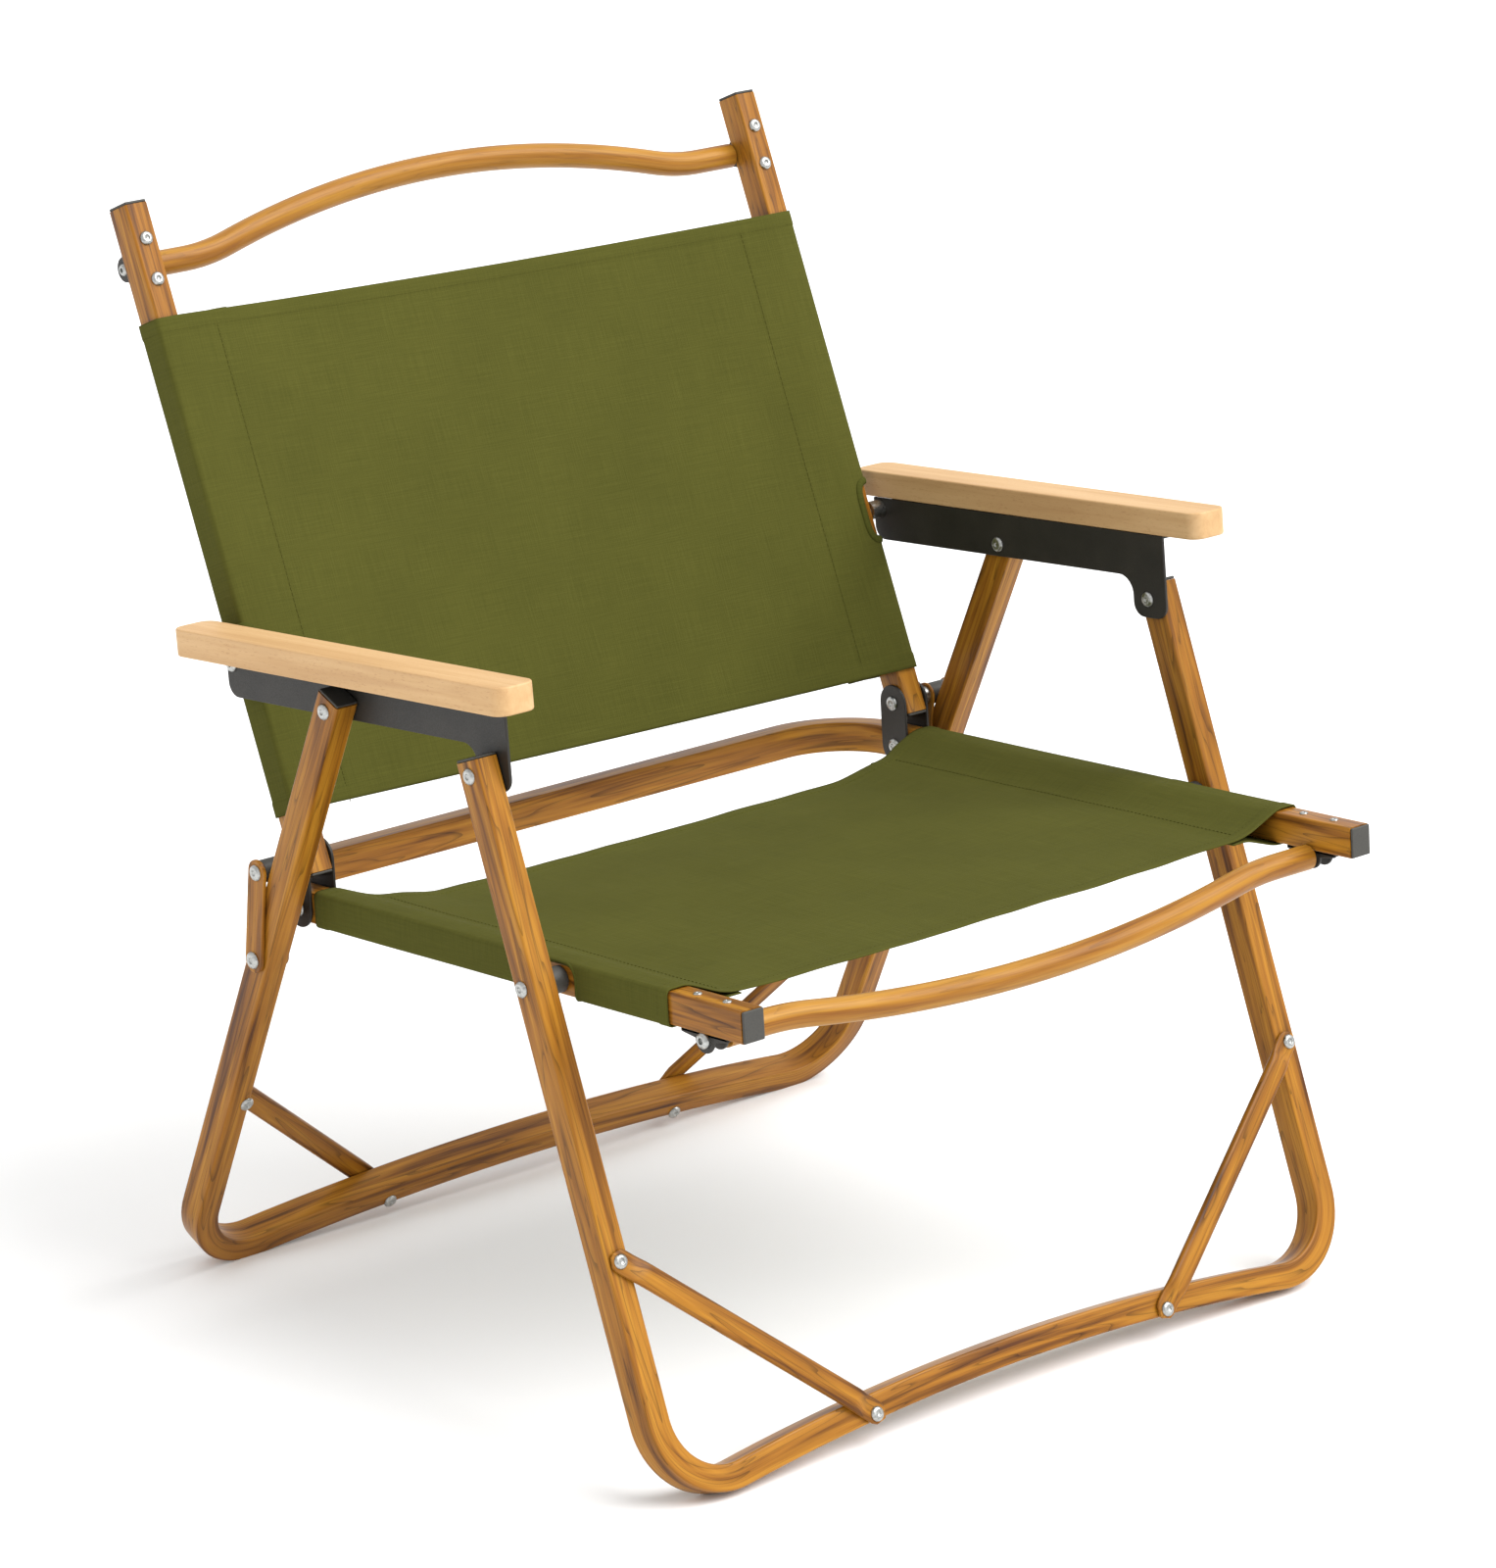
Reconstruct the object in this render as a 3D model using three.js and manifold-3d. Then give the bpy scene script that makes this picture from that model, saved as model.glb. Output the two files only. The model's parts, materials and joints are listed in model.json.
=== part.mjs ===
// Folding director chair: two U-shaped leg frames, a sling seat frame and a
// sling back that fold flat about ten pivots. Millimetres, +Z up, the sitter
// faces -Y, the middle of the chair stands on x = 0 and the floor is z = 0.
import * as THREE from 'three';
import { mergeVertices } from 'three/addons/utils/BufferGeometryUtils.js';
import ManifoldModule from 'manifold-3d';

const wasm = await ManifoldModule();
wasm.setup();
const { Manifold, Mesh: SolidMesh } = wasm;

// ---- driving dimensions -------------------------------------------------

const GAP = 0.3;                 // air left between pieces that touch
const TUBE = 16;                 // oblong tube of legs, posts and rails, across
const TUBE_DEEP = 19.5;          // the same tube, square to its frame
const TUBE_CORNER = 1.6;         // corner flat of the tube
const CAP_INSET = 0.8;           // end caps are this much smaller than the tube
const LEG_X = 271;               // centre of each leg from the middle
const POST_X = 242.2;            // centre of each back post and seat rail
const BAR_RADIUS = 7.9;          // round handle and front stretcher
const BAR_STRAIGHT = 28;         // straight run at each end of a round bar
const BAR_TURN = 35;             // reverse bend between that run and the crown

// Pivots in the side plane, as [y, z].
const PIVOT_ARM_REAR = [47.3, 409];       // rear leg on the arm plate
const PIVOT_ARM_FRONT = [-89.7, 403.5];   // front leg on the arm plate
const PIVOT_ARM_BACK = [160.3, 408.5];    // back post on the arm plate
const PIVOT_SEAT_FRONT = [-135.2, 287];   // front leg on the seat rail
const PIVOT_SEAT_BACK = [114.8, 292];     // back post on the seat plates
const PIVOT_LINK = [119.8, 235];          // link bars on the rear leg

const FRONT_LEG_LEAN = 22.7;     // degrees from upright, top backward
const REAR_LEG_LEAN = -22.5;     // top forward
const POST_LEAN = 24.4;          // top backward
const RAIL_SLOPE = 5.2;          // seat rails drop to the rear
const ARM_SLOPE = 6.7;           // armrests drop to the rear

const LEG_ABOVE_PIVOT = 8.6;     // tube left above the upper leg pivot
const FRONT_LEG_LENGTH = 427.4;  // upper pivot to the middle of the foot bar
const REAR_LEG_LENGTH = 432.7;
const FOOT_BEND = 44;            // centreline radius of the foot corners
const FOOT_ARCH = 7.3;           // degrees the foot bar rises at each corner

const BRACE_WIDTH = 14.5;
const BRACE_THICK = 5;
// Brace ends as [x, distance below the leg's upper pivot].
const FRONT_BRACE = [[270, 289], [119, 420]];
const REAR_BRACE = [[268, 298], [119, 427.5]];

const POST_ABOVE_PIVOT = 283;    // arm pivot to the top of the tube
const POST_BELOW_PIVOT = 9;      // tube left below the seat pivot
const POST_BEHIND_PIVOT = 5.7;   // post centre line behind its upper pivot
const HANDLE_DROP = 35.3;        // tube top to the handle axis
const HANDLE_BACK = 12.3;        // handle axis behind the post centre line
const HANDLE_ARCH = 28;
const HANDLE_BRACKET = 17;       // length of the handle bracket on the post

const RAIL_FRONT = 159;          // seat pivot to the front end of the rail
const RAIL_REAR = 315;           // seat pivot to the rear cross tube
const RAIL_BEND = 52;
const STRETCHER_BACK = 35.5;     // front end of the rail to the bar axis
const STRETCHER_DROP = 14;       // rail centre line to the bar axis
const STRETCHER_ARCH = 17;
const STRETCHER_TIP = 35;        // degrees the dip reaches forward
const STRETCHER_BRACKET = 40;    // length of its bracket under the rail

const ARM_ORIGIN = [-129.5, 467.2]; // front end of the armrest top
const ARM_LENGTH = 318;
const ARM_INNER_X = 260;
const ARM_WIDTH = 29;
const ARM_THICK = 17;
const ARM_CORNER = 9;            // radius of each corner seen from above
const ARM_EDGE = 1.2;            // rounding along the edges

const PLATE_THICK = 2;
const ARM_PLATE_X = 260.5;       // inner face of the arm plate and inner link
const ARM_FLANGE_WIDTH = 21;     // the plate's flange under the wood
const ARM_FLANGE = [32.5, 284.5];   // start and end of the flange along the arm
const KNEE_PLATE_RADIUS = 12;    // rounded ends of the plates at the seat back
const KNEE_PLATE_DROP = 30;      // distance between their two fixings
const LINK_WIDTH = 16;
const LINK_OUTER_X = 279.5;
const LINK_OUTER_THICK = 2.5;

const PIN_RADIUS = 3;
const PIN_CLEARANCE = 0.1;
const HEAD_RADIUS = 4.8;
const HEAD_THICK = 2;
const CAP_THICK = 1.6;

const SEAT_PANEL = [62, 388];    // behind the rail front, start and end
const BACK_PANEL = [76, 384];    // below the post top, start and end
const BACK_HOLLOW = 14;          // depth of the curve across the back
const SEAT_HOLLOW = 3;
const PANEL_THICK = 3;
const PANEL_EDGE_GAP = 3.4;       // clears the pin heads inside the rails and posts

// ---- materials ------------------------------------------------------------

function material(name, hex, roughness, metalness = 0) {
  const made = new THREE.MeshStandardMaterial({ color: hex, roughness, metalness });
  made.name = name;
  return made;
}

const GRAIN_TUBE = material('wood_grain_coat', 0xa8743a, 0.45);
const PALE_BAR = material('pale_grain_coat', 0xc08a3c, 0.45);
const BEECH = material('beech', 0xd9b483, 0.6);
const CANVAS = material('olive_canvas', 0x5f6330, 0.95);
const BLACK_PLATE = material('black_plate', 0x262420, 0.6);
const BLACK_PLASTIC = material('black_plastic', 0x3a3936, 0.7);
const BRIGHT_METAL = material('bright_metal', 0xc8c9c6, 0.3, 1);

const group = new THREE.Group();
group.name = 'director_chair';

function add(name, geometry, mat) {
  const mesh = new THREE.Mesh(geometry, mat);
  mesh.name = name;
  group.add(mesh);
}

// ---- small helpers ----------------------------------------------------------

const SIDES = [['left', -1], ['right', 1]];
const rad = THREE.MathUtils.degToRad;

// Side-plane direction: degrees of lean from straight up, positive backward.
function leaning(degrees) {
  return [Math.sin(rad(degrees)), Math.cos(rad(degrees))];
}

// Side-plane direction running rearward and dropping by the given degrees.
function sloping(degrees) {
  return [Math.cos(rad(degrees)), -Math.sin(rad(degrees))];
}

function step(point, direction, distance) {
  return [point[0] + direction[0] * distance, point[1] + direction[1] * distance];
}

function turnedUp(direction) {
  return [-direction[1], direction[0]];
}

// A local frame: x stays the chair's x, u runs along a side-plane direction and
// v is square to both.
function sideFrame(origin, direction) {
  const across = turnedUp(direction);
  const matrix = new THREE.Matrix4();
  matrix.set(
    1, 0, 0, 0,
    0, direction[0], across[0], origin[0],
    0, direction[1], across[1], origin[1],
    0, 0, 0, 1,
  );
  return matrix;
}

function toSolid(geometry) {
  const bare = new THREE.BufferGeometry();
  bare.setAttribute('position', geometry.getAttribute('position'));
  if (geometry.index) bare.setIndex(geometry.index);
  const merged = mergeVertices(bare, 1e-4);
  return new Manifold(new SolidMesh({
    numProp: 3,
    vertProperties: new Float32Array(merged.getAttribute('position').array),
    triVerts: new Uint32Array(merged.index.array),
  }));
}

function toGeometry(solid) {
  const mesh = solid.getMesh();
  const geometry = new THREE.BufferGeometry();
  const positions = new Float32Array(mesh.vertProperties);
  geometry.setAttribute('position', new THREE.BufferAttribute(positions, 3));
  geometry.setIndex(new THREE.BufferAttribute(new Uint32Array(mesh.triVerts), 1));
  geometry.computeVertexNormals();
  return geometry;
}

function boxSolid(size, centre) {
  const geometry = new THREE.BoxGeometry(...size);
  geometry.translate(...centre);
  return toSolid(geometry);
}

// Cylinder along x between two x positions.
function rod(radius, fromX, toX, at, facets = 20) {
  const geometry = new THREE.CylinderGeometry(radius, radius, Math.abs(toX - fromX), facets);
  geometry.rotateZ(Math.PI / 2);
  geometry.translate((fromX + toX) / 2, at[0], at[1]);
  return toSolid(geometry);
}

// Take round holes along x out of a solid.
function drill(solid, side, spots, radius = PIN_RADIUS + PIN_CLEARANCE) {
  let result = solid;
  for (const [fromX, toX, at] of spots) {
    result = result.subtract(rod(radius, side * fromX, side * toX, at));
  }
  return result;
}

// Oblong tube section with flattened corners, in (out, across).
function tubeSection(width, depth, corner = TUBE_CORNER) {
  const a = depth / 2;
  const b = width / 2;
  return new THREE.Shape([
    [a - corner, -b], [a, -b + corner], [a, b - corner], [a - corner, b],
    [-a + corner, b], [-a, b - corner], [-a, -b + corner], [-a + corner, -b],
  ].map(([out, across]) => new THREE.Vector2(out, across)));
}

function roundSection(radius, facets = 14) {
  const points = [];
  for (let i = 0; i < facets; i += 1) {
    const angle = (2 * Math.PI * i) / facets;
    points.push(new THREE.Vector2(radius * Math.cos(angle), radius * Math.sin(angle)));
  }
  return new THREE.Shape(points);
}

// A curve met only at its given points, in the local x-u plane, so that an
// extrusion along it has one step from each point to the next.
class PointPath extends THREE.Curve {
  constructor(points) {
    super();
    this.points = points.map(([x, u]) => new THREE.Vector3(x, u, 0));
    this.steps = points.length - 1;
  }

  getPointAt(share) {
    return this.points[Math.round(share * this.steps)].clone();
  }

  getTangentAt(share) {
    const at = Math.round(share * this.steps);
    const before = this.points[Math.max(at - 1, 0)];
    const after = this.points[Math.min(at + 1, this.steps)];
    return after.clone().sub(before).normalize();
  }
}

// Sweep a section along a path lying in the local x-u plane. The section's
// second value runs square to the path within that plane and its first along v.
function sweep(path, section) {
  const extrudePath = new PointPath(path);
  const settings = { steps: extrudePath.steps, extrudePath, bevelEnabled: false };
  return toSolid(new THREE.ExtrudeGeometry(section, settings));
}

function place(solid, frame) {
  return solid.transform(Array.from(frame.elements));
}

// Flat plate standing in a side plane: outline in (y, z), thickness along x.
function sidePlate(outline, fromX, toX) {
  const shape = new THREE.Shape(outline.map(([y, z]) => new THREE.Vector2(y, z)));
  const geometry = new THREE.ExtrudeGeometry(shape, {
    depth: Math.abs(toX - fromX), bevelEnabled: false,
  });
  const turn = new THREE.Matrix4();
  turn.set(
    0, 0, 1, Math.min(fromX, toX),
    1, 0, 0, 0,
    0, 1, 0, 0,
    0, 0, 0, 1,
  );
  geometry.applyMatrix4(turn);
  return toSolid(geometry);
}

// Outline of a bar with round ends between two side-plane points.
function stadium(from, to, radius, facets = 8) {
  const angle = Math.atan2(to[1] - from[1], to[0] - from[0]);
  const points = [];
  for (const [centre, start] of [[to, angle - Math.PI / 2], [from, angle + Math.PI / 2]]) {
    for (let i = 0; i <= facets; i += 1) {
      const turn = start + (Math.PI * i) / facets;
      points.push([centre[0] + radius * Math.cos(turn), centre[1] + radius * Math.sin(turn)]);
    }
  }
  return points;
}

// Points of a U-shaped path: two straight arms joined by a foot bar that arches
// back toward the open end between its corners.
function footPath(halfWidth, top, length, bend, archDegrees) {
  const corner = length - bend;
  const turn = Math.PI / 2 + rad(archDegrees);
  const cornerSteps = 7;
  const archSteps = 5;
  const half = [[-halfWidth, top]];
  for (let i = 0; i <= cornerSteps; i += 1) {
    const angle = (turn * i) / cornerSteps;
    half.push([
      -halfWidth + bend - bend * Math.cos(angle),
      corner + bend * Math.sin(angle),
    ]);
  }
  const [startX, startU] = half[half.length - 1];
  if (archDegrees > 0) {
    const radius = -startX / Math.sin(rad(archDegrees));
    for (let i = 1; i <= archSteps; i += 1) {
      const angle = rad(archDegrees) * (1 - i / archSteps);
      half.push([
        -radius * Math.sin(angle),
        startU - radius * (Math.cos(angle) - Math.cos(rad(archDegrees))),
      ]);
    }
  }
  const mirrored = half.map(([x, u]) => [-x, u]).reverse();
  const middle = archDegrees > 0 ? mirrored.slice(1) : mirrored;
  return half.concat(middle);
}

// Low arch between two ends: straight entries, reverse bends and a round crown.
function archPath(halfWidth, rise, steps = 30) {
  const run = halfWidth - BAR_STRAIGHT;
  const crown = run - BAR_TURN;
  const slope = (2 * rise) / run;
  const points = [];
  for (let i = 0; i <= steps; i += 1) {
    const x = -halfWidth + (2 * halfWidth * i) / steps;
    const from = Math.abs(x);
    let height = 0;
    if (from < crown) height = rise - (slope * from ** 2) / (2 * crown);
    else if (from < run) height = (slope * (run - from) ** 2) / (2 * BAR_TURN);
    points.push([x, height]);
  }
  return points;
}

// ---- leg frames ---------------------------------------------------------------

function legFrame(name, pivot, lean, length, braceSide, braceEnds, drills) {
  const down = leaning(lean).map((value) => -value);
  const frame = sideFrame(pivot, down);
  const path = footPath(LEG_X, -LEG_ABOVE_PIVOT, length, FOOT_BEND, FOOT_ARCH);
  let tube = place(sweep(path, tubeSection(TUBE, TUBE_DEEP)), frame);
  for (const [, side] of SIDES) {
    tube = drill(tube, side, drills.map((at) => [LEG_X - TUBE, LEG_X + TUBE, at]));
  }
  add(`${name}_frame`, toGeometry(tube), GRAIN_TUBE);

  for (const [label, side] of SIDES) {
    const cap = boxSolid(
      [TUBE - CAP_INSET, CAP_THICK, TUBE_DEEP - CAP_INSET],
      [side * LEG_X, -LEG_ABOVE_PIVOT - GAP - CAP_THICK / 2, 0],
    );
    add(`${name}_cap_${label}`, toGeometry(place(cap, frame)), BLACK_PLASTIC);

    const outline = stadium(braceEnds[0], braceEnds[1], BRACE_WIDTH / 2, 6);
    const shape = new THREE.Shape(outline.map(([x, u]) => new THREE.Vector2(side * x, u)));
    const brace = new THREE.ExtrudeGeometry(shape, { depth: BRACE_THICK, bevelEnabled: false });
    const near = TUBE_DEEP / 2 + GAP;
    brace.translate(0, 0, braceSide > 0 ? near : -near - BRACE_THICK);
    add(`${name}_brace_${label}`, toGeometry(place(toSolid(brace), frame)), GRAIN_TUBE);
  }
}

// ---- arms -----------------------------------------------------------------------

// Arm plate outline in (along the armrest, below its top).
function armPlateOutline() {
  const under = ARM_THICK + GAP;
  const strip = 45;
  const front = 31;
  const lobeBack = 60;
  const lobeLow = 70.5;
  const corner = 9;
  const inside = 12;
  const rear = 300;
  const round = (cu, cv, radius, from, to) => {
    const points = [];
    for (let i = 0; i <= 5; i += 1) {
      const angle = rad(from + ((to - from) * i) / 5);
      points.push([cu + radius * Math.cos(angle), cv + radius * Math.sin(angle)]);
    }
    return points;
  };
  return [
    [front, under],
    ...round(front + corner, lobeLow - corner, corner, 180, 90),
    ...round(lobeBack - corner, lobeLow - corner, corner, 90, 0),
    ...round(lobeBack + inside, strip + inside, inside, 180, 270),
    ...round(rear - corner, strip - corner, corner, 90, 0),
    [rear, under],
  ];
}

function arm(label, side) {
  const along = sloping(ARM_SLOPE);
  const at = ([u, v]) => [
    ARM_ORIGIN[0] + along[0] * u + along[1] * v,
    ARM_ORIGIN[1] + along[1] * u - along[0] * v,
  ];
  const half = ARM_WIDTH / 2;
  const centreX = side * (ARM_INNER_X + half);
  const plan = [];
  for (const [u, x, from] of [
    [ARM_LENGTH, half, 0], [0, half, 90], [0, -half, 180], [ARM_LENGTH, -half, 270],
  ]) {
    const centreU = u - Math.sign(u - 1) * ARM_CORNER;
    const centreHalf = x - Math.sign(x) * ARM_CORNER;
    for (let i = 0; i <= 4; i += 1) {
      const angle = rad(from + (90 * i) / 4);
      plan.push([
        centreU + ARM_CORNER * Math.cos(angle),
        centreHalf + ARM_CORNER * Math.sin(angle),
      ]);
    }
  }
  const shape = new THREE.Shape(plan.map(([u, x]) => new THREE.Vector2(centreX + x, u)));
  const wood = new THREE.ExtrudeGeometry(shape, {
    depth: ARM_THICK - 2 * ARM_EDGE,
    bevelThickness: ARM_EDGE,
    bevelSize: ARM_EDGE,
    bevelOffset: -ARM_EDGE,
    bevelSegments: 2,
  });
  wood.translate(0, 0, -ARM_THICK + ARM_EDGE);
  const frame = sideFrame(ARM_ORIGIN, along);
  add(`armrest_${label}`, toGeometry(place(toSolid(wood), frame)), BEECH);

  const outline = armPlateOutline().map(at);
  const web = sidePlate(outline, side * ARM_PLATE_X, side * (ARM_PLATE_X + PLATE_THICK));
  const [start, end] = ARM_FLANGE;
  const flange = place(boxSolid(
    [ARM_FLANGE_WIDTH, end - start, PLATE_THICK],
    [
      side * (ARM_PLATE_X + ARM_FLANGE_WIDTH / 2),
      (start + end) / 2,
      -ARM_THICK - GAP - PLATE_THICK / 2,
    ],
  ), frame);
  const plate = drill(web.add(flange), side, [PIVOT_ARM_REAR, PIVOT_ARM_FRONT, PIVOT_ARM_BACK]
    .map((pivot) => [ARM_PLATE_X - 5, ARM_PLATE_X + 6, pivot]));
  add(`arm_plate_${label}`, toGeometry(plate), BLACK_PLATE);
}

// Headed pin: shaft with a head beyond each end.
function pin(name, side, fromX, toX, at, shoulder) {
  let solid = rod(PIN_RADIUS, side * fromX, side * toX, at);
  const outer = toX + HEAD_THICK;
  const inner = fromX - HEAD_THICK;
  solid = solid.add(rod(HEAD_RADIUS, side * (toX - 0.01), side * outer, at));
  solid = solid.add(rod(HEAD_RADIUS, side * inner, side * (fromX + 0.01), at));
  if (shoulder) {
    solid = solid.add(rod(shoulder.radius, side * shoulder.from, side * shoulder.to, at));
  }
  add(name, toGeometry(solid), BRIGHT_METAL);
}

// ---- back ---------------------------------------------------------------------------

const postUp = leaning(POST_LEAN);
const pivotSpan = Math.hypot(
  PIVOT_ARM_BACK[0] - PIVOT_SEAT_BACK[0], PIVOT_ARM_BACK[1] - PIVOT_SEAT_BACK[1],
);
const postLength = POST_ABOVE_PIVOT + pivotSpan + POST_BELOW_PIVOT;
// The post centre line runs a little behind its upper pivot.
const postTop = step(step(PIVOT_ARM_BACK, turnedUp(postUp), -POST_BEHIND_PIVOT),
  postUp, POST_ABOVE_PIVOT);

// Channel bracket that carries the end of a round bar: a base on the tube and
// two cheeks rounded about the bar, in a frame whose v axis points away from it.
function channelBracket(side, frame, along, axisDepth, length) {
  const face = -TUBE_DEEP / 2 - GAP;
  const width = TUBE - 4;
  const base = boxSolid(
    [width, length, PLATE_THICK],
    [side * POST_X, along, face - PLATE_THICK / 2],
  );
  const outline = [[along - length / 2, face], [along - length / 2, face - PLATE_THICK]];
  const facets = 8;
  for (let i = 0; i <= facets; i += 1) {
    const turn = (Math.PI * i) / facets;
    outline.push([
      along - BAR_RADIUS * Math.cos(turn),
      -axisDepth - BAR_RADIUS * Math.sin(turn),
    ]);
  }
  outline.push([along + length / 2, face - PLATE_THICK], [along + length / 2, face]);
  let bracket = base;
  for (const edge of [-width / 2, width / 2 - PLATE_THICK]) {
    const from = side * POST_X + edge;
    bracket = bracket.add(sidePlate(outline, from, from + PLATE_THICK));
  }
  return place(bracket, frame);
}

function back() {
  const frame = sideFrame(postTop, postUp);
  for (const [label, side] of SIDES) {
    const path = [[side * POST_X, 0], [side * POST_X, -postLength]];
    let tube = place(sweep(path, tubeSection(TUBE, TUBE_DEEP)), frame);
    tube = drill(tube, side, [PIVOT_ARM_BACK, PIVOT_SEAT_BACK]
      .map((at) => [POST_X - TUBE, POST_X + TUBE, at]));
    add(`post_${label}`, toGeometry(tube), GRAIN_TUBE);
    for (const [end, u] of [
      ['cap', GAP + CAP_THICK / 2], ['plug', -postLength - GAP - CAP_THICK / 2],
    ]) {
      const lid = boxSolid(
        [TUBE - CAP_INSET, CAP_THICK, TUBE_DEEP - CAP_INSET],
        [side * POST_X, u, 0],
      );
      add(`post_${end}_${label}`, toGeometry(place(lid, frame)), BLACK_PLASTIC);
    }
    const bracket = channelBracket(side, frame, -HANDLE_DROP, HANDLE_BACK, HANDLE_BRACKET);
    add(`handle_bracket_${label}`, toGeometry(bracket), BLACK_PLATE);
  }
  const reach = POST_X - TUBE / 2 - 4 * GAP;
  const arch = archPath(reach, HANDLE_ARCH).map(([x, u]) => [x, u - HANDLE_DROP]);
  const bar = sweep(arch, roundSection(BAR_RADIUS)).translate([0, 0, -HANDLE_BACK]);
  add('handle_bar', toGeometry(place(bar, frame)), PALE_BAR);

  const half = POST_X - TUBE / 2 - PANEL_EDGE_GAP;
  const [start, end] = BACK_PANEL;
  const level = TUBE_DEEP / 2 - PANEL_THICK - 1;
  const panel = panelSolid(half, [-end, -start], level, -BACK_HOLLOW);
  add('back_canvas', toGeometry(place(panel, frame)), CANVAS);
}

// A gently hollowed panel: arc across x, straight along u.
function panelSolid(half, [from, to], level, hollow) {
  const steps = 10;
  const upper = [];
  const lower = [];
  for (let i = 0; i <= steps; i += 1) {
    const x = -half + (2 * half * i) / steps;
    const v = level + hollow * (1 - (x / half) ** 2);
    upper.push(new THREE.Vector2(x, v + PANEL_THICK));
    lower.push(new THREE.Vector2(x, v));
  }
  const shape = new THREE.Shape(lower.concat(upper.reverse()));
  const geometry = new THREE.ExtrudeGeometry(shape, { depth: to - from, bevelEnabled: false });
  const turn = new THREE.Matrix4();
  turn.set(
    1, 0, 0, 0,
    0, 0, 1, from,
    0, 1, 0, 0,
    0, 0, 0, 1,
  );
  geometry.applyMatrix4(turn);
  const index = [];
  const flat = geometry.getAttribute('position').count;
  for (let i = 0; i < flat; i += 3) index.push(i, i + 2, i + 1);
  geometry.setIndex(index);
  return toSolid(geometry);
}

// ---- seat ---------------------------------------------------------------------------

const railBack = sloping(RAIL_SLOPE);
const railFront = step(PIVOT_SEAT_FRONT, railBack, -RAIL_FRONT);
const kneeLow = step(PIVOT_SEAT_BACK, leaning(RAIL_SLOPE).map((v) => -v), KNEE_PLATE_DROP - 1.5);

function seat() {
  const frame = sideFrame(railFront, railBack);
  const path = footPath(POST_X, 0, RAIL_FRONT + RAIL_REAR, RAIL_BEND, 0);
  let tube = place(sweep(path, tubeSection(TUBE, TUBE_DEEP)), frame);
  for (const [, side] of SIDES) {
    tube = drill(tube, side, [PIVOT_SEAT_FRONT, kneeLow]
      .map((at) => [POST_X - TUBE, POST_X + TUBE, at]));
  }
  add('seat_frame', toGeometry(tube), GRAIN_TUBE);

  for (const [label, side] of SIDES) {
    const cap = boxSolid(
      [TUBE - CAP_INSET, CAP_THICK, TUBE_DEEP - CAP_INSET],
      [side * POST_X, -GAP - CAP_THICK / 2, 0],
    );
    add(`seat_cap_${label}`, toGeometry(place(cap, frame)), BLACK_PLASTIC);
    const bracket = channelBracket(
      side, frame, STRETCHER_BACK, STRETCHER_DROP, STRETCHER_BRACKET,
    );
    add(`stretcher_bracket_${label}`, toGeometry(bracket), BLACK_PLATE);

    for (const [where, from] of [
      ['inner', POST_X - TUBE / 2 - GAP - PLATE_THICK], ['outer', POST_X + TUBE / 2 + GAP],
    ]) {
      const outline = stadium(PIVOT_SEAT_BACK, kneeLow, KNEE_PLATE_RADIUS);
      const plate = sidePlate(outline, side * from, side * (from + PLATE_THICK));
      const bored = drill(plate, side, [PIVOT_SEAT_BACK, kneeLow]
        .map((at) => [from - 3, from + 5, at]));
      add(`knee_plate_${where}_${label}`, toGeometry(bored), BLACK_PLATE);
    }
    pin(`knee_rivet_${label}`, side, POST_X - TUBE / 2 - PLATE_THICK - 2 * GAP,
      POST_X + TUBE / 2 + PLATE_THICK + 2 * GAP, kneeLow);
  }

  const reach = POST_X - TUBE / 2 - 4 * GAP;
  const bar = sweep(archPath(reach, STRETCHER_ARCH), roundSection(BAR_RADIUS));
  const tip = new THREE.Matrix4().makeRotationX(rad(-90 - STRETCHER_TIP));
  const tipped = bar.transform(Array.from(tip.elements));
  const stretcher = tipped.translate([0, STRETCHER_BACK, -STRETCHER_DROP]);
  add('front_stretcher', toGeometry(place(stretcher, frame)), PALE_BAR);

  const half = POST_X - TUBE / 2 - PANEL_EDGE_GAP;
  const panel = panelSolid(half, SEAT_PANEL, 0, -SEAT_HOLLOW);
  add('seat_canvas', toGeometry(place(panel, frame)), CANVAS);
}

// ---- links ------------------------------------------------------------------------

function links(label, side) {
  const outline = stadium(PIVOT_SEAT_BACK, PIVOT_LINK, LINK_WIDTH / 2);
  const inner = sidePlate(outline, side * ARM_PLATE_X, side * (ARM_PLATE_X + PLATE_THICK));
  const outer = sidePlate(outline, side * LINK_OUTER_X,
    side * (LINK_OUTER_X + LINK_OUTER_THICK));
  for (const [where, solid, at] of [['inner', inner, ARM_PLATE_X], ['outer', outer, LINK_OUTER_X]]) {
    const bored = drill(solid, side, [[at - 3, at + 5, PIVOT_SEAT_BACK]]);
    add(`link_${where}_${label}`, toGeometry(bored), GRAIN_TUBE);
  }
  const face = LINK_OUTER_X + LINK_OUTER_THICK + GAP;
  const head = rod(HEAD_RADIUS + 0.6, side * face, side * (face + HEAD_THICK), PIVOT_LINK);
  add(`link_rivet_${label}`, toGeometry(head), BRIGHT_METAL);

  let bush = rod(7, side * (ARM_PLATE_X + PLATE_THICK + GAP), side * (LINK_OUTER_X - GAP),
    PIVOT_SEAT_BACK);
  bush = drill(bush, side, [[ARM_PLATE_X - 5, LINK_OUTER_X + 5, PIVOT_SEAT_BACK]]);
  add(`link_bush_${label}`, toGeometry(bush), BLACK_PLASTIC);
  const shoulder = {
    radius: 6, from: POST_X + TUBE / 2 + PLATE_THICK + 2 * GAP, to: ARM_PLATE_X - GAP,
  };
  pin(`seat_bolt_${label}`, side, POST_X - TUBE / 2 - PLATE_THICK - 2 * GAP, face,
    PIVOT_SEAT_BACK, shoulder);
}

// ---- assembly --------------------------------------------------------------------

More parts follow.
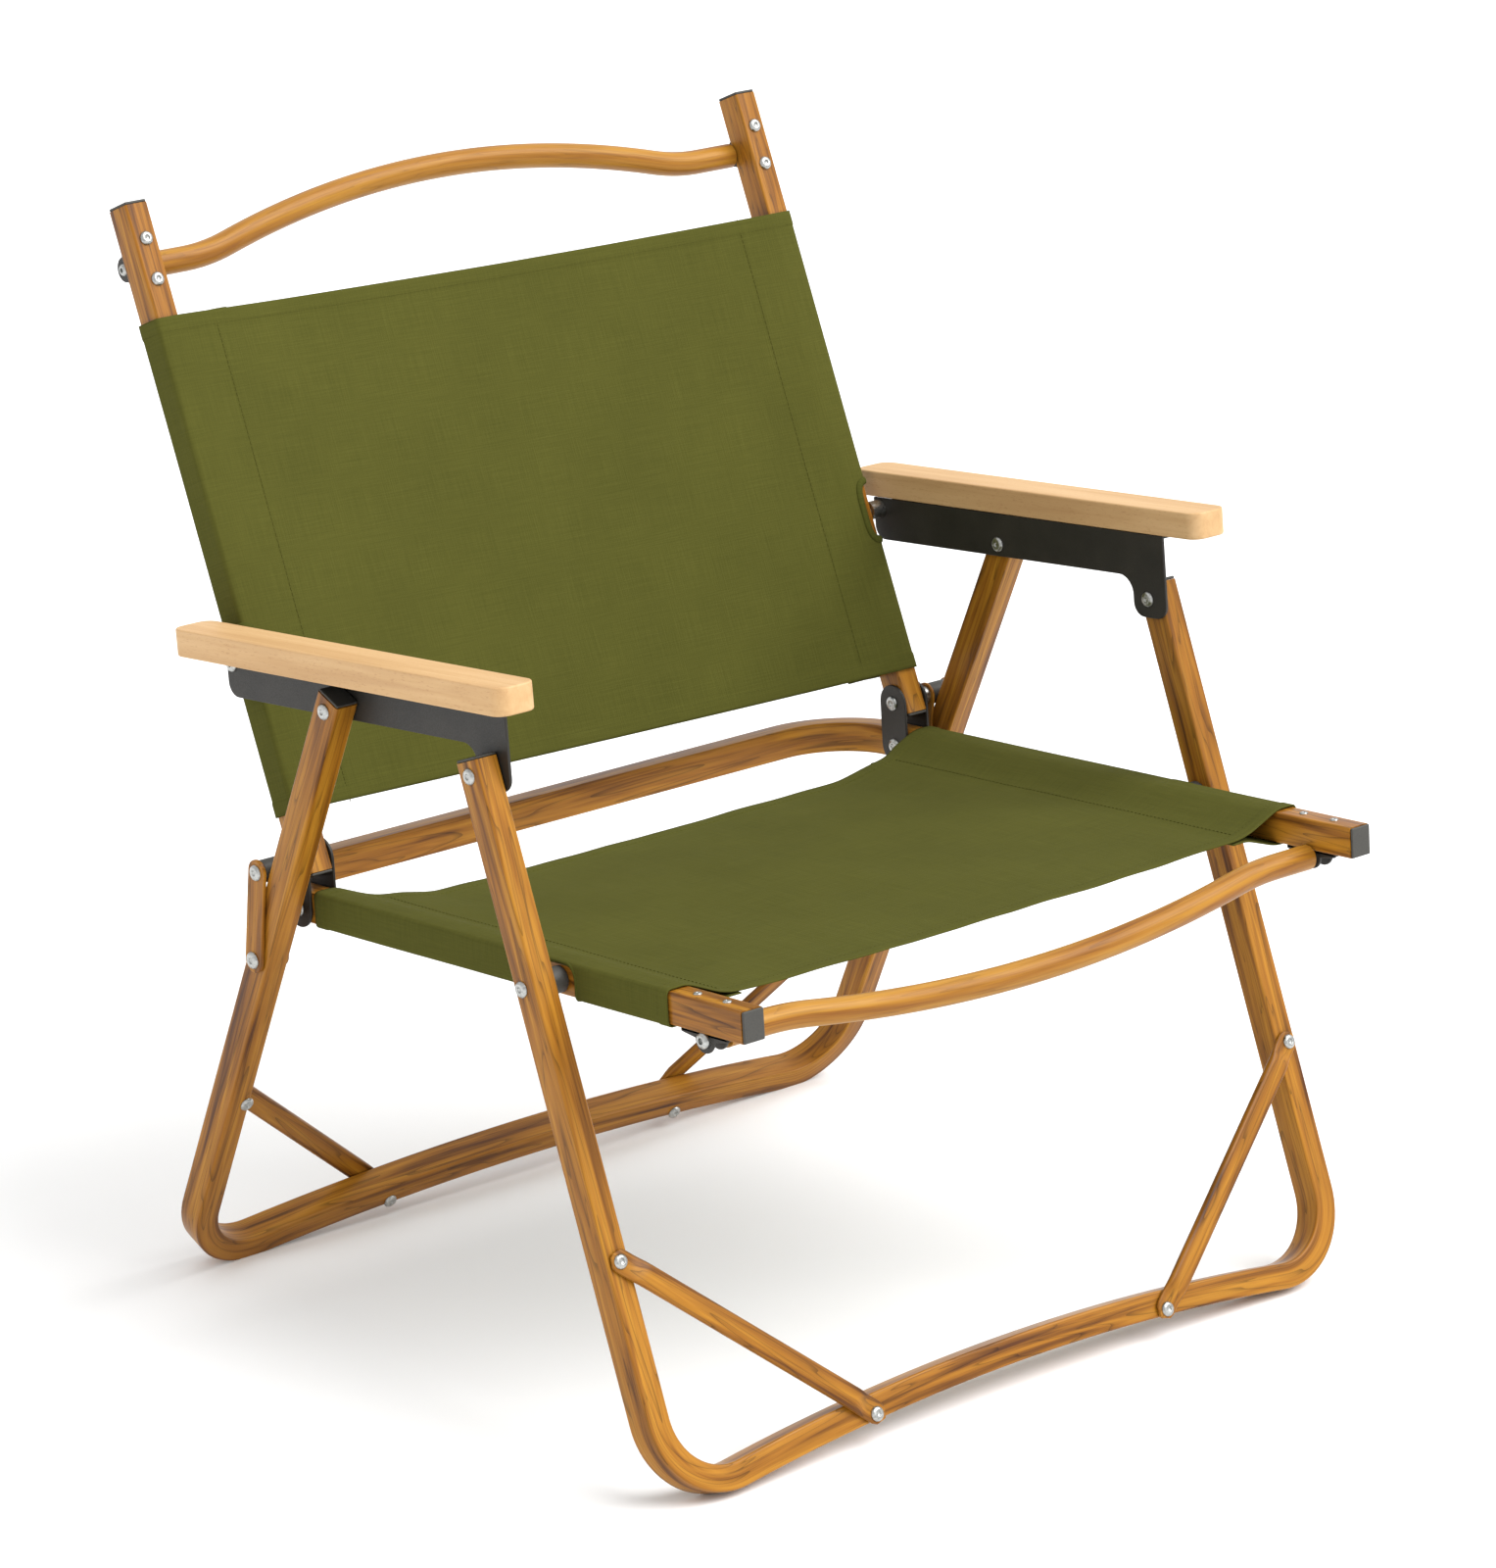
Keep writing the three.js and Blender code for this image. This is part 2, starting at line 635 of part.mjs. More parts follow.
legFrame('rear_leg', PIVOT_ARM_REAR, REAR_LEG_LEAN, REAR_LEG_LENGTH, 1, REAR_BRACE,
  [PIVOT_ARM_REAR]);
legFrame('front_leg', PIVOT_ARM_FRONT, FRONT_LEG_LEAN, FRONT_LEG_LENGTH, -1, FRONT_BRACE,
  [PIVOT_ARM_FRONT, PIVOT_SEAT_FRONT]);
for (const [label, side] of SIDES) {
  arm(label, side);
  const plateIn = ARM_PLATE_X - GAP;
  const legOut = LEG_X + TUBE / 2 + GAP;
  pin(`arm_pin_rear_${label}`, side, plateIn, legOut, PIVOT_ARM_REAR);
  pin(`arm_pin_front_${label}`, side, plateIn, legOut, PIVOT_ARM_FRONT);
  pin(`arm_pin_back_${label}`, side, POST_X - TUBE / 2 - GAP, ARM_PLATE_X + PLATE_THICK + GAP,
    PIVOT_ARM_BACK, { radius: 6, from: POST_X + TUBE / 2 + GAP, to: plateIn });
  pin(`seat_pin_${label}`, side, POST_X - TUBE / 2 - GAP, legOut, PIVOT_SEAT_FRONT);
  let spacer = rod(8, side * (POST_X + TUBE / 2 + GAP), side * (LEG_X - TUBE / 2 - GAP),
    PIVOT_SEAT_FRONT);
  spacer = drill(spacer, side, [[POST_X, LEG_X, PIVOT_SEAT_FRONT]]);
  add(`seat_spacer_${label}`, toGeometry(spacer), BLACK_PLASTIC);
  links(label, side);
}
back();
seat();

export default group;
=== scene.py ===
"""Folding director chair: the visible model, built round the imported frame."""
import json
import math

import bmesh
import bpy
from mathutils import Matrix, Vector, noise


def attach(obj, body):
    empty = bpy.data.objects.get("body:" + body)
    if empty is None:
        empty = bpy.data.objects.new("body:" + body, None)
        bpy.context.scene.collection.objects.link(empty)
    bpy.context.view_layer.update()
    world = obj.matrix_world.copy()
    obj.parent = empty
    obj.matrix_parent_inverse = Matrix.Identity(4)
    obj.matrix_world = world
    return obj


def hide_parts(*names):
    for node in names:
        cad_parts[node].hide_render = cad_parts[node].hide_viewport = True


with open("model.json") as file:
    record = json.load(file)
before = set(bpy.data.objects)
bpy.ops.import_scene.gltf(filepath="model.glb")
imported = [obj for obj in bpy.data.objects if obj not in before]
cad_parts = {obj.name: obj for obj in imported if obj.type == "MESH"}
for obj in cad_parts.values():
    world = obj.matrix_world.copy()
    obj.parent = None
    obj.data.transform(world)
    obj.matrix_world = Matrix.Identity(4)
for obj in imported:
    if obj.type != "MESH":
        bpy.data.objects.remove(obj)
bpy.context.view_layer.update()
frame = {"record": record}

# ---- dimensions, in millimetres, the same as the CAD part's ----

MM = 0.001
TUBE = 16.0
TUBE_DEEP = 19.5
TUBE_ROUND = 1.5
CAP_INSET = 0.4
CAP_THICK = 1.6
CAP_STANDS_OFF = 0.05
PIN_SHAFT_RADIUS = 3.0
LEG_X = 271.0
POST_X = 242.2
BAR_RADIUS = 7.9
BAR_STRAIGHT = 28.0
BAR_TURN = 35.0

PIVOT_ARM_REAR = (47.3, 409.0)
PIVOT_ARM_FRONT = (-89.7, 403.5)
PIVOT_ARM_BACK = (160.3, 408.5)
PIVOT_SEAT_FRONT = (-135.2, 287.0)
PIVOT_SEAT_BACK = (114.8, 292.0)
PIVOT_LINK = (119.8, 235.0)

FRONT_LEG_LEAN = 22.7
REAR_LEG_LEAN = -22.5
POST_LEAN = 24.4
RAIL_SLOPE = 5.2
ARM_SLOPE = 6.7

LEG_ABOVE_PIVOT = 8.6
FRONT_LEG_LENGTH = 427.4
REAR_LEG_LENGTH = 432.7
FOOT_BEND = 44.0
FOOT_ARCH = 7.3
BRACE_WIDTH = 14.5
BRACE_THICK = 5.0
FRONT_BRACE = ((270.0, 289.0), (119.0, 420.0))
REAR_BRACE = ((268.0, 298.0), (119.0, 427.5))

POST_ABOVE_PIVOT = 283.0
POST_BELOW_PIVOT = 9.0
POST_BEHIND_PIVOT = 5.7
HANDLE_DROP = 35.3
HANDLE_BACK = 12.3
HANDLE_ARCH = 28.0
HANDLE_BRACKET = 17.0
HANDLE_RIVETS = (22.0, 47.4)

RAIL_FRONT = 159.0
RAIL_REAR = 315.0
RAIL_BEND = 52.0
STRETCHER_BACK = 35.5
STRETCHER_DROP = 14.0
STRETCHER_ARCH = 17.0
STRETCHER_TIP = 35.0
STRETCHER_BRACKET = 40.0
RAIL_RIVETS = (20.5, 46.0)

ARM_ORIGIN = (-129.5, 467.2)
ARM_LENGTH = 318.0
ARM_INNER_X = 260.0
ARM_WIDTH = 29.0
ARM_THICK = 17.0
ARM_CORNER = 9.0
ARM_EDGE = 1.2
ARM_SCREWS = (55.0, 160.0, 265.0)

PLATE_THICK = 2.0
ARM_PLATE_X = 260.5
ARM_FLANGE = (32.5, 284.5)
ARM_FLANGE_WIDTH = 21.0
KNEE_PLATE_RADIUS = 12.0
KNEE_PLATE_DROP = 28.5
LINK_WIDTH = 16.0
LINK_OUTER_X = 279.5
LINK_OUTER_THICK = 2.5
GAP = 0.3

SEAT_PANEL = (62.0, 388.0)
BACK_PANEL = (76.0, 384.0)
BACK_HOLLOW = 14.0
BACK_SLANT = 0.021
SEAT_REAR_SAG = 5.5
SEAT_SLEEVE_BACK = 4.0
CLOTH_THICK = 0.9
CLOTH_STANDS_OFF = 0.9
HEM_WIDTH = 9.0
BACK_OPENING = (12.5, 19.0)     # half sizes across and along
SEAT_OPENING = (14.5, 15.0)
YARN_PITCH = 0.00085            # metres

SIDES = (("left", -1), ("right", 1))
BODY_OF = {node: body for body, nodes in frame["record"]["behaviour"]["bodies"].items()
           for node in nodes}


# ---- side-plane helpers ----

def leaning(degrees):
    return (math.sin(math.radians(degrees)), math.cos(math.radians(degrees)))


def sloping(degrees):
    return (math.cos(math.radians(degrees)), -math.sin(math.radians(degrees)))


def step(point, direction, distance):
    return (point[0] + direction[0] * distance, point[1] + direction[1] * distance)


def turned_up(direction):
    return (-direction[1], direction[0])


def side_frame(origin, along):
    """A function from local (x, u, v) in mm to a point of the row frame in metres."""
    across = turned_up(along)

    def at(x, u, v):
        return Vector((x, origin[0] + along[0] * u + across[0] * v,
                       origin[1] + along[1] * u + across[1] * v)) * MM
    return at


def local_of(origin, along, point):
    """The (u, v) of a side-plane point in that frame."""
    across = turned_up(along)
    dy, dz = point[0] - origin[0], point[1] - origin[1]
    return (dy * along[0] + dz * along[1], dy * across[0] + dz * across[1])


def heading(at, dx, du, dv):
    return (at(dx, du, dv) - at(0, 0, 0)).normalized()


def upright(x, y, z):
    """The plain frame: side-plane points as they are."""
    return Vector((x, y, z)) * MM


POST_UP = leaning(POST_LEAN)
SPAN = math.dist(PIVOT_ARM_BACK, PIVOT_SEAT_BACK)
POST_LENGTH = POST_ABOVE_PIVOT + SPAN + POST_BELOW_PIVOT
POST_TOP = step(step(PIVOT_ARM_BACK, turned_up(POST_UP), -POST_BEHIND_PIVOT),
                POST_UP, POST_ABOVE_PIVOT)
RAIL_BACK = sloping(RAIL_SLOPE)
RAIL_TIP = step(PIVOT_SEAT_FRONT, RAIL_BACK, -RAIL_FRONT)
KNEE_LOW = step(PIVOT_SEAT_BACK, leaning(RAIL_SLOPE), -KNEE_PLATE_DROP)
post_at = side_frame(POST_TOP, POST_UP)
rail_at = side_frame(RAIL_TIP, RAIL_BACK)
arm_at = side_frame(ARM_ORIGIN, sloping(ARM_SLOPE))


# ---- materials ----

def colour(red, green, blue):
    """An sRGB colour given in 0..255, as linear RGBA."""
    def linear(value):
        value /= 255
        return value / 12.92 if value <= 0.04045 else ((value + 0.055) / 1.055) ** 2.4
    return (linear(red), linear(green), linear(blue), 1.0)


class Shader:
    """A Principled material and short ways to add nodes to it."""

    def __init__(self, name, **values):
        self.material = bpy.data.materials.new(name)
        self.material.use_nodes = True
        self.tree = self.material.node_tree
        self.bsdf = self.tree.nodes["Principled BSDF"]
        for key, value in values.items():
            self.bsdf.inputs[key.replace("_", " ")].default_value = value

    def node(self, kind, inputs=(), **props):
        made = self.tree.nodes.new("ShaderNode" + kind)
        for key, value in props.items():
            setattr(made, key, value)
        for key, value in dict(inputs).items():
            self.feed(made.inputs[key], value)
        return made

    def feed(self, socket, value):
        """Link a socket into an input, or set the input to a plain value."""
        if isinstance(value, bpy.types.NodeSocket):
            self.tree.links.new(value, socket)
        else:
            socket.default_value = value

    def coords(self, attribute, scale):
        source = self.node("Attribute", attribute_name=attribute)
        return self.node("Mapping", {"Vector": source.outputs["Vector"],
                                     "Scale": scale}).outputs["Vector"]

    def on_object(self, scale):
        source = self.node("TexCoord").outputs["Object"]
        return self.node("Mapping", {"Vector": source,
                                     "Scale": (scale, scale, scale)}).outputs[0]

    def noise(self, vector, detail=3.0, roughness=0.5, distortion=0.0):
        made = self.node("TexNoise", {"Vector": vector, "Scale": 1.0, "Detail": detail,
                                      "Roughness": roughness, "Distortion": distortion})
        return made.outputs["Fac"]

    def ramp(self, value, stops):
        made = self.node("ValToRGB", {"Fac": value})
        elements = made.color_ramp.elements
        while len(elements) < len(stops):
            elements.new(0.5)
        for element, (place, tint) in zip(elements, stops):
            element.position = place
            element.color = tint if len(tint) == 4 else (*tint, 1.0)
        return made.outputs["Color"]

    def grey(self, value, low, high, start=0.0, end=1.0):
        return self.node("MapRange", {"Value": value, "From Min": start, "From Max": end,
                                      "To Min": low, "To Max": high}).outputs["Result"]

    def maths(self, operation, first, second=0.0):
        made = self.node("Math", operation=operation)
        self.feed(made.inputs[0], first)
        self.feed(made.inputs[1], second)
        return made.outputs[0]

    def mix(self, blend, factor, first, second):
        made = self.node("Mix", data_type="RGBA", blend_type=blend)
        for socket, value in ((made.inputs[0], factor), (made.inputs[6], first),
                              (made.inputs[7], second)):
            self.feed(socket, value)
        return made.outputs[2]

    def bump(self, height, distance, strength):
        return self.node("Bump", {"Height": height, "Distance": distance,
                                  "Strength": strength}).outputs["Normal"]

    def finish(self, tint, roughness, normal):
        self.tree.links.new(tint, self.bsdf.inputs["Base Color"])
        if roughness is not None:
            self.tree.links.new(roughness, self.bsdf.inputs["Roughness"])
        self.tree.links.new(normal, self.bsdf.inputs["Normal"])
        return self.material


def wood_film(name, light, middle, dark, streaks):
    """Wood-grain film on a tube: long wandering streaks, contour lines and fine pores."""
    shader = Shader(name, Specular_IOR_Level=0.22)
    broad = shader.noise(shader.coords("grain", (7.0, 150.0, 150.0)), 3.0, 0.55, 0.5)
    base = shader.ramp(broad, ((0.28, dark), (0.46, middle), (0.66, light)))
    contour = shader.noise(shader.coords("grain", (3.2, 62.0, 62.0)), 2.0, 0.5, 0.9)
    rings = shader.maths("FRACT", shader.maths("MULTIPLY", contour, 11.0))
    lines = shader.ramp(rings, ((0.0, (0.30, 0.30, 0.30)), (0.16, (0.82, 0.82, 0.82)),
                                (0.6, (1.0, 1.0, 1.0)), (0.97, (0.86, 0.86, 0.86))))
    tint = shader.mix("MULTIPLY", streaks, base, lines)
    fine = shader.noise(shader.coords("grain", (26.0, 1300.0, 1300.0)), 3.0, 0.6)
    pores = shader.ramp(fine, ((0.30, (0.62, 0.56, 0.50)), (0.47, (1.0, 1.0, 1.0))))
    tint = shader.mix("MULTIPLY", 0.55, tint, pores)
    slow = shader.noise(shader.coords("grain", (5.0, 20.0, 20.0)), 2.0)
    tint = shader.mix("MULTIPLY", 0.5, tint, shader.ramp(slow, ((0.3, (0.72, 0.70, 0.68)),
                                                                (0.62, (1.0, 1.0, 1.0)))))
    return shader.finish(tint, shader.grey(fine, 0.40, 0.29, 0.3, 0.7),
                         shader.bump(fine, 0.00006, 0.5))


def beech_wood():
    shader = Shader("beech", Specular_IOR_Level=0.4)
    broad = shader.noise(shader.coords("grain", (5.0, 90.0, 60.0)), 3.0, 0.55, 0.6)
    base = shader.ramp(broad, ((0.3, colour(188, 149, 102)), (0.5, colour(198, 160, 112)),
                               (0.7, colour(206, 170, 123))))
    lines = shader.noise(shader.coords("grain", (9.0, 620.0, 380.0)), 4.0, 0.6, 0.3)
    tint = shader.mix("MULTIPLY", 0.25, base, shader.ramp(
        lines, ((0.34, (0.80, 0.72, 0.62)), (0.5, (1.0, 1.0, 1.0)))))
    fleck = shader.noise(shader.coords("grain", (260.0, 2100.0, 1500.0)), 2.0, 0.5)
    flecks = shader.ramp(fleck, ((0.31, (0.66, 0.52, 0.40)), (0.39, (1.0, 1.0, 1.0))))
    tint = shader.mix("MULTIPLY", 0.4, tint, flecks)
    return shader.finish(tint, shader.grey(lines, 0.62, 0.48, 0.3, 0.7),
                         shader.bump(lines, 0.00012, 0.5))


def woven(name, base, low, high):
    """Plain weave of slubbed yarn: the pitch of the yarns is in the bump and the tone, which is
    painted shade in the weave's hollows and painted highlight on the yarn tops.
    """
    shader = Shader(name, Specular_IOR_Level=0.08, Roughness=0.95)
    pitch = 2 * math.pi / YARN_PITCH
    source = shader.node("SeparateXYZ", {"Vector": shader.coords("cloth", (1, 1, 1))})
    across = shader.maths("SINE", shader.maths("MULTIPLY", source.outputs[0], pitch))
    along = shader.maths("SINE", shader.maths("MULTIPLY", source.outputs[1], pitch))
    weave = shader.maths("MULTIPLY", across, along)
    warp = shader.noise(shader.coords("cloth", (1150.0, 26.0, 1.0)), 2.0, 0.6)
    weft = shader.noise(shader.coords("cloth", (26.0, 1150.0, 1.0)), 2.0, 0.6)
    slub = shader.maths("ADD", warp, weft)
    tint = shader.ramp(shader.maths("MULTIPLY", slub, 0.5),
                       ((0.3, low), (0.5, base), (0.7, high)))
    cloud = shader.noise(shader.coords("cloth", (14.0, 11.0, 1.0)), 3.0, 0.55)
    tint = shader.mix("MULTIPLY", 0.5, tint, shader.ramp(
        cloud, ((0.3, (0.84, 0.84, 0.80)), (0.7, (1.06, 1.05, 1.0)))))
    # painted shade and highlight: the weave term that lifts the bump also darkens its hollows
    # and lightens the yarn tops
    tone = shader.grey(weave, 0.86, 1.05, -1.0, 1.0)
    tint = shader.mix("MULTIPLY", 1.0, tint,
                      shader.node("CombineColor", {0: tone, 1: tone, 2: tone}).outputs[0])
    height = shader.maths("ADD", shader.maths("MULTIPLY", weave, 0.5),
                          shader.maths("MULTIPLY", slub, 1.2))
    return shader.finish(tint, None, shader.bump(height, 0.00018, 0.6))


def gritty(name, scale, detail, tints, rough, bump, tint_scale=None, **values):
    """A fine even grit; the tone follows it, or a broader noise of its own."""
    shader = Shader(name, **values)
    grit = shader.noise(shader.on_object(scale), detail)
    tone = shader.noise(shader.on_object(tint_scale), 3.0) if tint_scale else grit
    tint = shader.ramp(tone, ((0.3, colour(*tints[0])), (0.7, colour(*tints[1]))))
    return shader.finish(tint, shader.grey(grit, *rough, 0.3, 0.7),
                         shader.bump(grit, *bump))


GRAIN_TUBE = wood_film("wood_grain_coat", colour(180, 124, 38), colour(150, 96, 26),
                       colour(84, 46, 16), 0.8)
PALE_BAR = wood_film("pale_grain_coat", colour(176, 126, 44), colour(160, 108, 34),
                     colour(126, 76, 24), 0.35)
BEECH = beech_wood()
CANVAS = woven("olive_canvas", colour(80, 80, 33), colour(74, 75, 30), colour(86, 86, 37))
BINDING = woven("olive_binding", colour(74, 76, 30), colour(66, 68, 26), colour(82, 83, 34))
THREAD = woven("olive_thread", colour(78, 78, 32), colour(72, 72, 29), colour(84, 84, 36))
BLACK_PLATE = gritty("black_plate", 1500, 2.0, ((31, 29, 25), (42, 39, 34)), (0.42, 0.62),
                     (0.00008, 0.6), 38, Specular_IOR_Level=0.4)
BLACK_PLASTIC = gritty("black_plastic", 900, 2.0, ((52, 51, 47), (64, 62, 57)), (0.5, 0.64),
                       (0.00006, 0.5), Specular_IOR_Level=0.45)
BRIGHT_METAL = gritty("bright_metal", 700, 3.0, ((150, 151, 149), (190, 191, 188)),
                      (0.26, 0.42), (0.00005, 0.4), Metallic=1.0)


# ---- mesh building ----

class Shell:
    """Vertices, faces and texture coordinates of one piece, gathered part by part."""

    def __init__(self, attribute="grain"):
        self.attribute = attribute
        self.verts = []
        self.faces = []
        self.coords = []

    def add(self, verts, faces, coords=None):
        first = len(self.verts)
        self.verts += verts
        self.faces += [[first + i for i in face] for face in faces]
        self.coords += coords or [Vector(v) for v in verts]

    def rings(self, rings, coords=None, closed_ends=True):
        """Skin a list of equal closed rings, with a face over each end."""
        count = len(rings[0])
        faces = []
        for i in range(len(rings) - 1):
            for k in range(count):
                a, b = i * count + k, i * count + (k + 1) % count
                faces.append((a, b, b + count, a + count))
        if closed_ends:
            faces.append(tuple(reversed(range(count))))
            last = (len(rings) - 1) * count
            faces.append(tuple(last + k for k in range(count)))
        flat = [c for ring in coords for c in ring] if coords else None
        self.add([v for ring in rings for v in ring], faces, flat)

    def piece(self, name, material, body, stands_for=(), slot=None, sharp=35.0):
        mesh = bpy.data.meshes.new(name)
        mesh.from_pydata([v[:] for v in self.verts], [], self.faces)
        attribute = mesh.attributes.new(self.attribute, "FLOAT_VECTOR", "POINT")
        attribute.data.foreach_set("vector", [x for c in self.coords for x in c])
        work = bmesh.new()
        work.from_mesh(mesh)
        bmesh.ops.recalc_face_normals(work, faces=work.faces)
        work.to_mesh(mesh)
        work.free()
        mesh.shade_smooth()
        if sharp:
            mesh.set_sharp_from_angle(angle=math.radians(sharp))
        mesh.materials.append(material)
        made = bpy.data.objects.new(name, mesh)
        bpy.context.scene.collection.objects.link(made)
        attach(made, body)
        if stands_for:
            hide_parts(*stands_for)
        return made


def soften(piece, width, segments=3):
    """Round the edges of a plate or block."""
    bevel = piece.modifiers.new("edges", "BEVEL")
    bevel.width = width * MM
    bevel.segments = segments
    bevel.limit_method = "ANGLE"
    bevel.angle_limit = math.radians(28)
    bevel.harden_normals = True
    return piece


def rounded_section(width, height, radius=TUBE_ROUND, facets=5):
    points = []
    for sx, sy, start in ((1, 1, 0), (-1, 1, 90), (-1, -1, 180), (1, -1, 270)):
        for i in range(facets + 1):
            angle = math.radians(start + 90 * i / facets)
            points.append((sx * (width / 2 - radius) + radius * math.cos(angle),
                           sy * (height / 2 - radius) + radius * math.sin(angle)))
    return points


def round_section(radius, facets=28):
    return [(radius * math.cos(2 * math.pi * i / facets),
             radius * math.sin(2 * math.pi * i / facets)) for i in range(facets)]


def sweep(shell, path, section, at, grain_start=0.0):
    """Carry a section along a path of the frame's x-u plane."""
    rings, coords, travelled = [], [], grain_start
    for i, (x, u) in enumerate(path):
        before, after = path[max(i - 1, 0)], path[min(i + 1, len(path) - 1)]
        tx, tu = after[0] - before[0], after[1] - before[1]
        length = math.hypot(tx, tu)
        tx, tu = tx / length, tu / length
        travelled += math.dist(path[i - 1], path[i]) if i else 0.0
        rings.append([at(x - tu * a, u + tx * a, b) for a, b in section])
        coords.append([Vector((travelled, a, b)) * MM for a, b in section])
    shell.rings(rings, coords)


def foot_path(half, top, length, bend, arch):
    """A U of two straight arms and a foot bar that arches between rounded corners."""
    corner = length - bend
    turn = math.pi / 2 + math.radians(arch)
    points = [(-half, top + (corner - top) * i / 6) for i in range(6)]
    for i in range(23):
        angle = turn * i / 22
        points.append((-half + bend - bend * math.cos(angle), corner + bend * math.sin(angle)))
    start_x, start_u = points[-1]
    if arch:
        tilt = math.radians(arch)
        radius = -start_x / math.sin(tilt)
        for i in range(1, 17):
            angle = tilt * (1 - i / 16)
            points.append((-radius * math.sin(angle),
                           start_u - radius * (math.cos(angle) - math.cos(tilt))))
    half_way = points[:-1] if arch else points
    return points + [(-x, u) for x, u in reversed(half_way)]


def arch_path(half, rise, steps=96):
    """Straight entries, reverse bends and a round crown."""
    run = half - BAR_STRAIGHT
    crown = run - BAR_TURN
    slope = 2 * rise / run
    points = []
    for i in range(steps + 1):
        x = -half + 2 * half * i / steps
        out = abs(x)
        height = 0.0
        if out < crown:
            height = rise - slope * out * out / (2 * crown)
        elif out < run:
            height = slope * (run - out) ** 2 / (2 * BAR_TURN)
        points.append((x, height))
    return points


def stadium(start, end, radius, facets=16):
    angle = math.atan2(end[1] - start[1], end[0] - start[0])
    points = []
    for centre, first in ((end, angle - math.pi / 2), (start, angle + math.pi / 2)):
        for i in range(facets + 1):
            turn = first + math.pi * i / facets
            points.append((centre[0] + radius * math.cos(turn),
                           centre[1] + radius * math.sin(turn)))
    return points


def side_plate(shell, outline, at, from_x, to_x, along=(1.0, 0.0)):
    """A flat plate standing in a side plane, its outline in (u, v)."""
    across = turned_up(along)
    rings, coords = [], []
    for x in (from_x, to_x):
        rings.append([at(x, u, v) for u, v in outline])
        coords.append([Vector((u * along[0] + v * along[1],
                               u * across[0] + v * across[1], x)) * MM
                       for u, v in outline])
    shell.rings(rings, coords)


def block(shell, at, low, high):
    ring = ((low[0], low[1]), (high[0], low[1]), (high[0], high[1]), (low[0], high[1]))
    shell.rings([[at(x, u, v) for x, u in ring] for v in (low[2], high[2])],
                [[Vector((u, x, v)) * MM for x, u in ring] for v in (low[2], high[2])])


def lid(name, node, at, x, low, high, edge):
    """A black cover over a tube's end, from one u level to the other."""
    half_x, half_v = TUBE / 2 - CAP_INSET, TUBE_DEEP / 2 - CAP_INSET
    shell = Shell()
    block(shell, at, (x - half_x, low, -half_v), (x + half_x, high, half_v))
    soften(shell.piece(name, BLACK_PLASTIC, BODY_OF[node], [node], "black_plastic"), edge)


def lathe(shell, centre, axis, profile, facets=28):
    """Turn (radius, height) pairs in mm about an axis through a row-frame point."""
    side = axis.orthogonal().normalized()
    other = axis.cross(side)
    rings = []
    for radius, height in profile:
        rings.append([centre + (axis * height + (side * math.cos(2 * math.pi * k / facets)
                      + other * math.sin(2 * math.pi * k / facets)) * radius) * MM
                      for k in range(facets)])
    shell.rings(rings)


def rivet_head(shell, centre, axis, radius=4.8, height=2.0):
    """A domed head with a dimple in its middle."""
    shape = ((0.01, 0.50), (0.20, 0.50), (0.30, 0.62), (0.36, 0.92), (0.52, 1.0),
             (0.74, 0.90), (0.90, 0.64), (0.98, 0.34), (1.0, 0.10), (0.97, 0.0),
             (0.3, -0.1))
    lathe(shell, centre, axis, [(radius * r, height * h) for r, h in shape])


def screw_head(shell, centre, axis, radius=5.2, height=2.6):
    """A button head with a round socket."""
    shape = ((0.01, 0.42), (0.36, 0.42), (0.40, 0.96), (0.62, 1.0), (0.84, 0.80),
             (0.97, 0.46), (1.0, 0.14), (1.0, 0.0), (0.3, -0.1))
    lathe(shell, centre, axis, [(radius * r, height * h) for r, h in shape], 24)


# ---- leg frames ----

def brace(shell, at, side, level, thick, high, low):
    """A flattened tube: full in the middle, pressed flat round each rivet."""
    length = math.dist(high, low)
    along = ((low[0] - high[0]) / length, (low[1] - high[1]) / length)
    across = turned_up(along)
    half = BRACE_WIDTH / 2
    rings, coords = [], []
    for i in range(61):
        t = -half + (length + 2 * half) * i / 60
        beyond = max(-t, t - length, 0.0)
        width = max(math.sqrt(max(half * half - beyond * beyond, 0.0)), 1.2)
        near = min(max(min(t, length - t) - 6.0, 0.0) / 12.0, 1.0)
        full = 0.45 + 0.55 * near * near * (3 - 2 * near)
        ring, grain = [], []
        corner = min(width, thick * full / 2) * 0.9
        for a, b in rounded_section(2 * width, thick * full, corner, 4):
            x = high[0] + along[0] * t + across[0] * a
            u = high[1] + along[1] * t + across[1] * a
            out = level + math.copysign(thick * full / 2, level) + b
            ring.append(at(side * x, u, out))
            grain.append(Vector((t + 37 * side, a, b)) * MM)
        rings.append(ring)
        coords.append(grain)
    shell.rings(rings, coords)


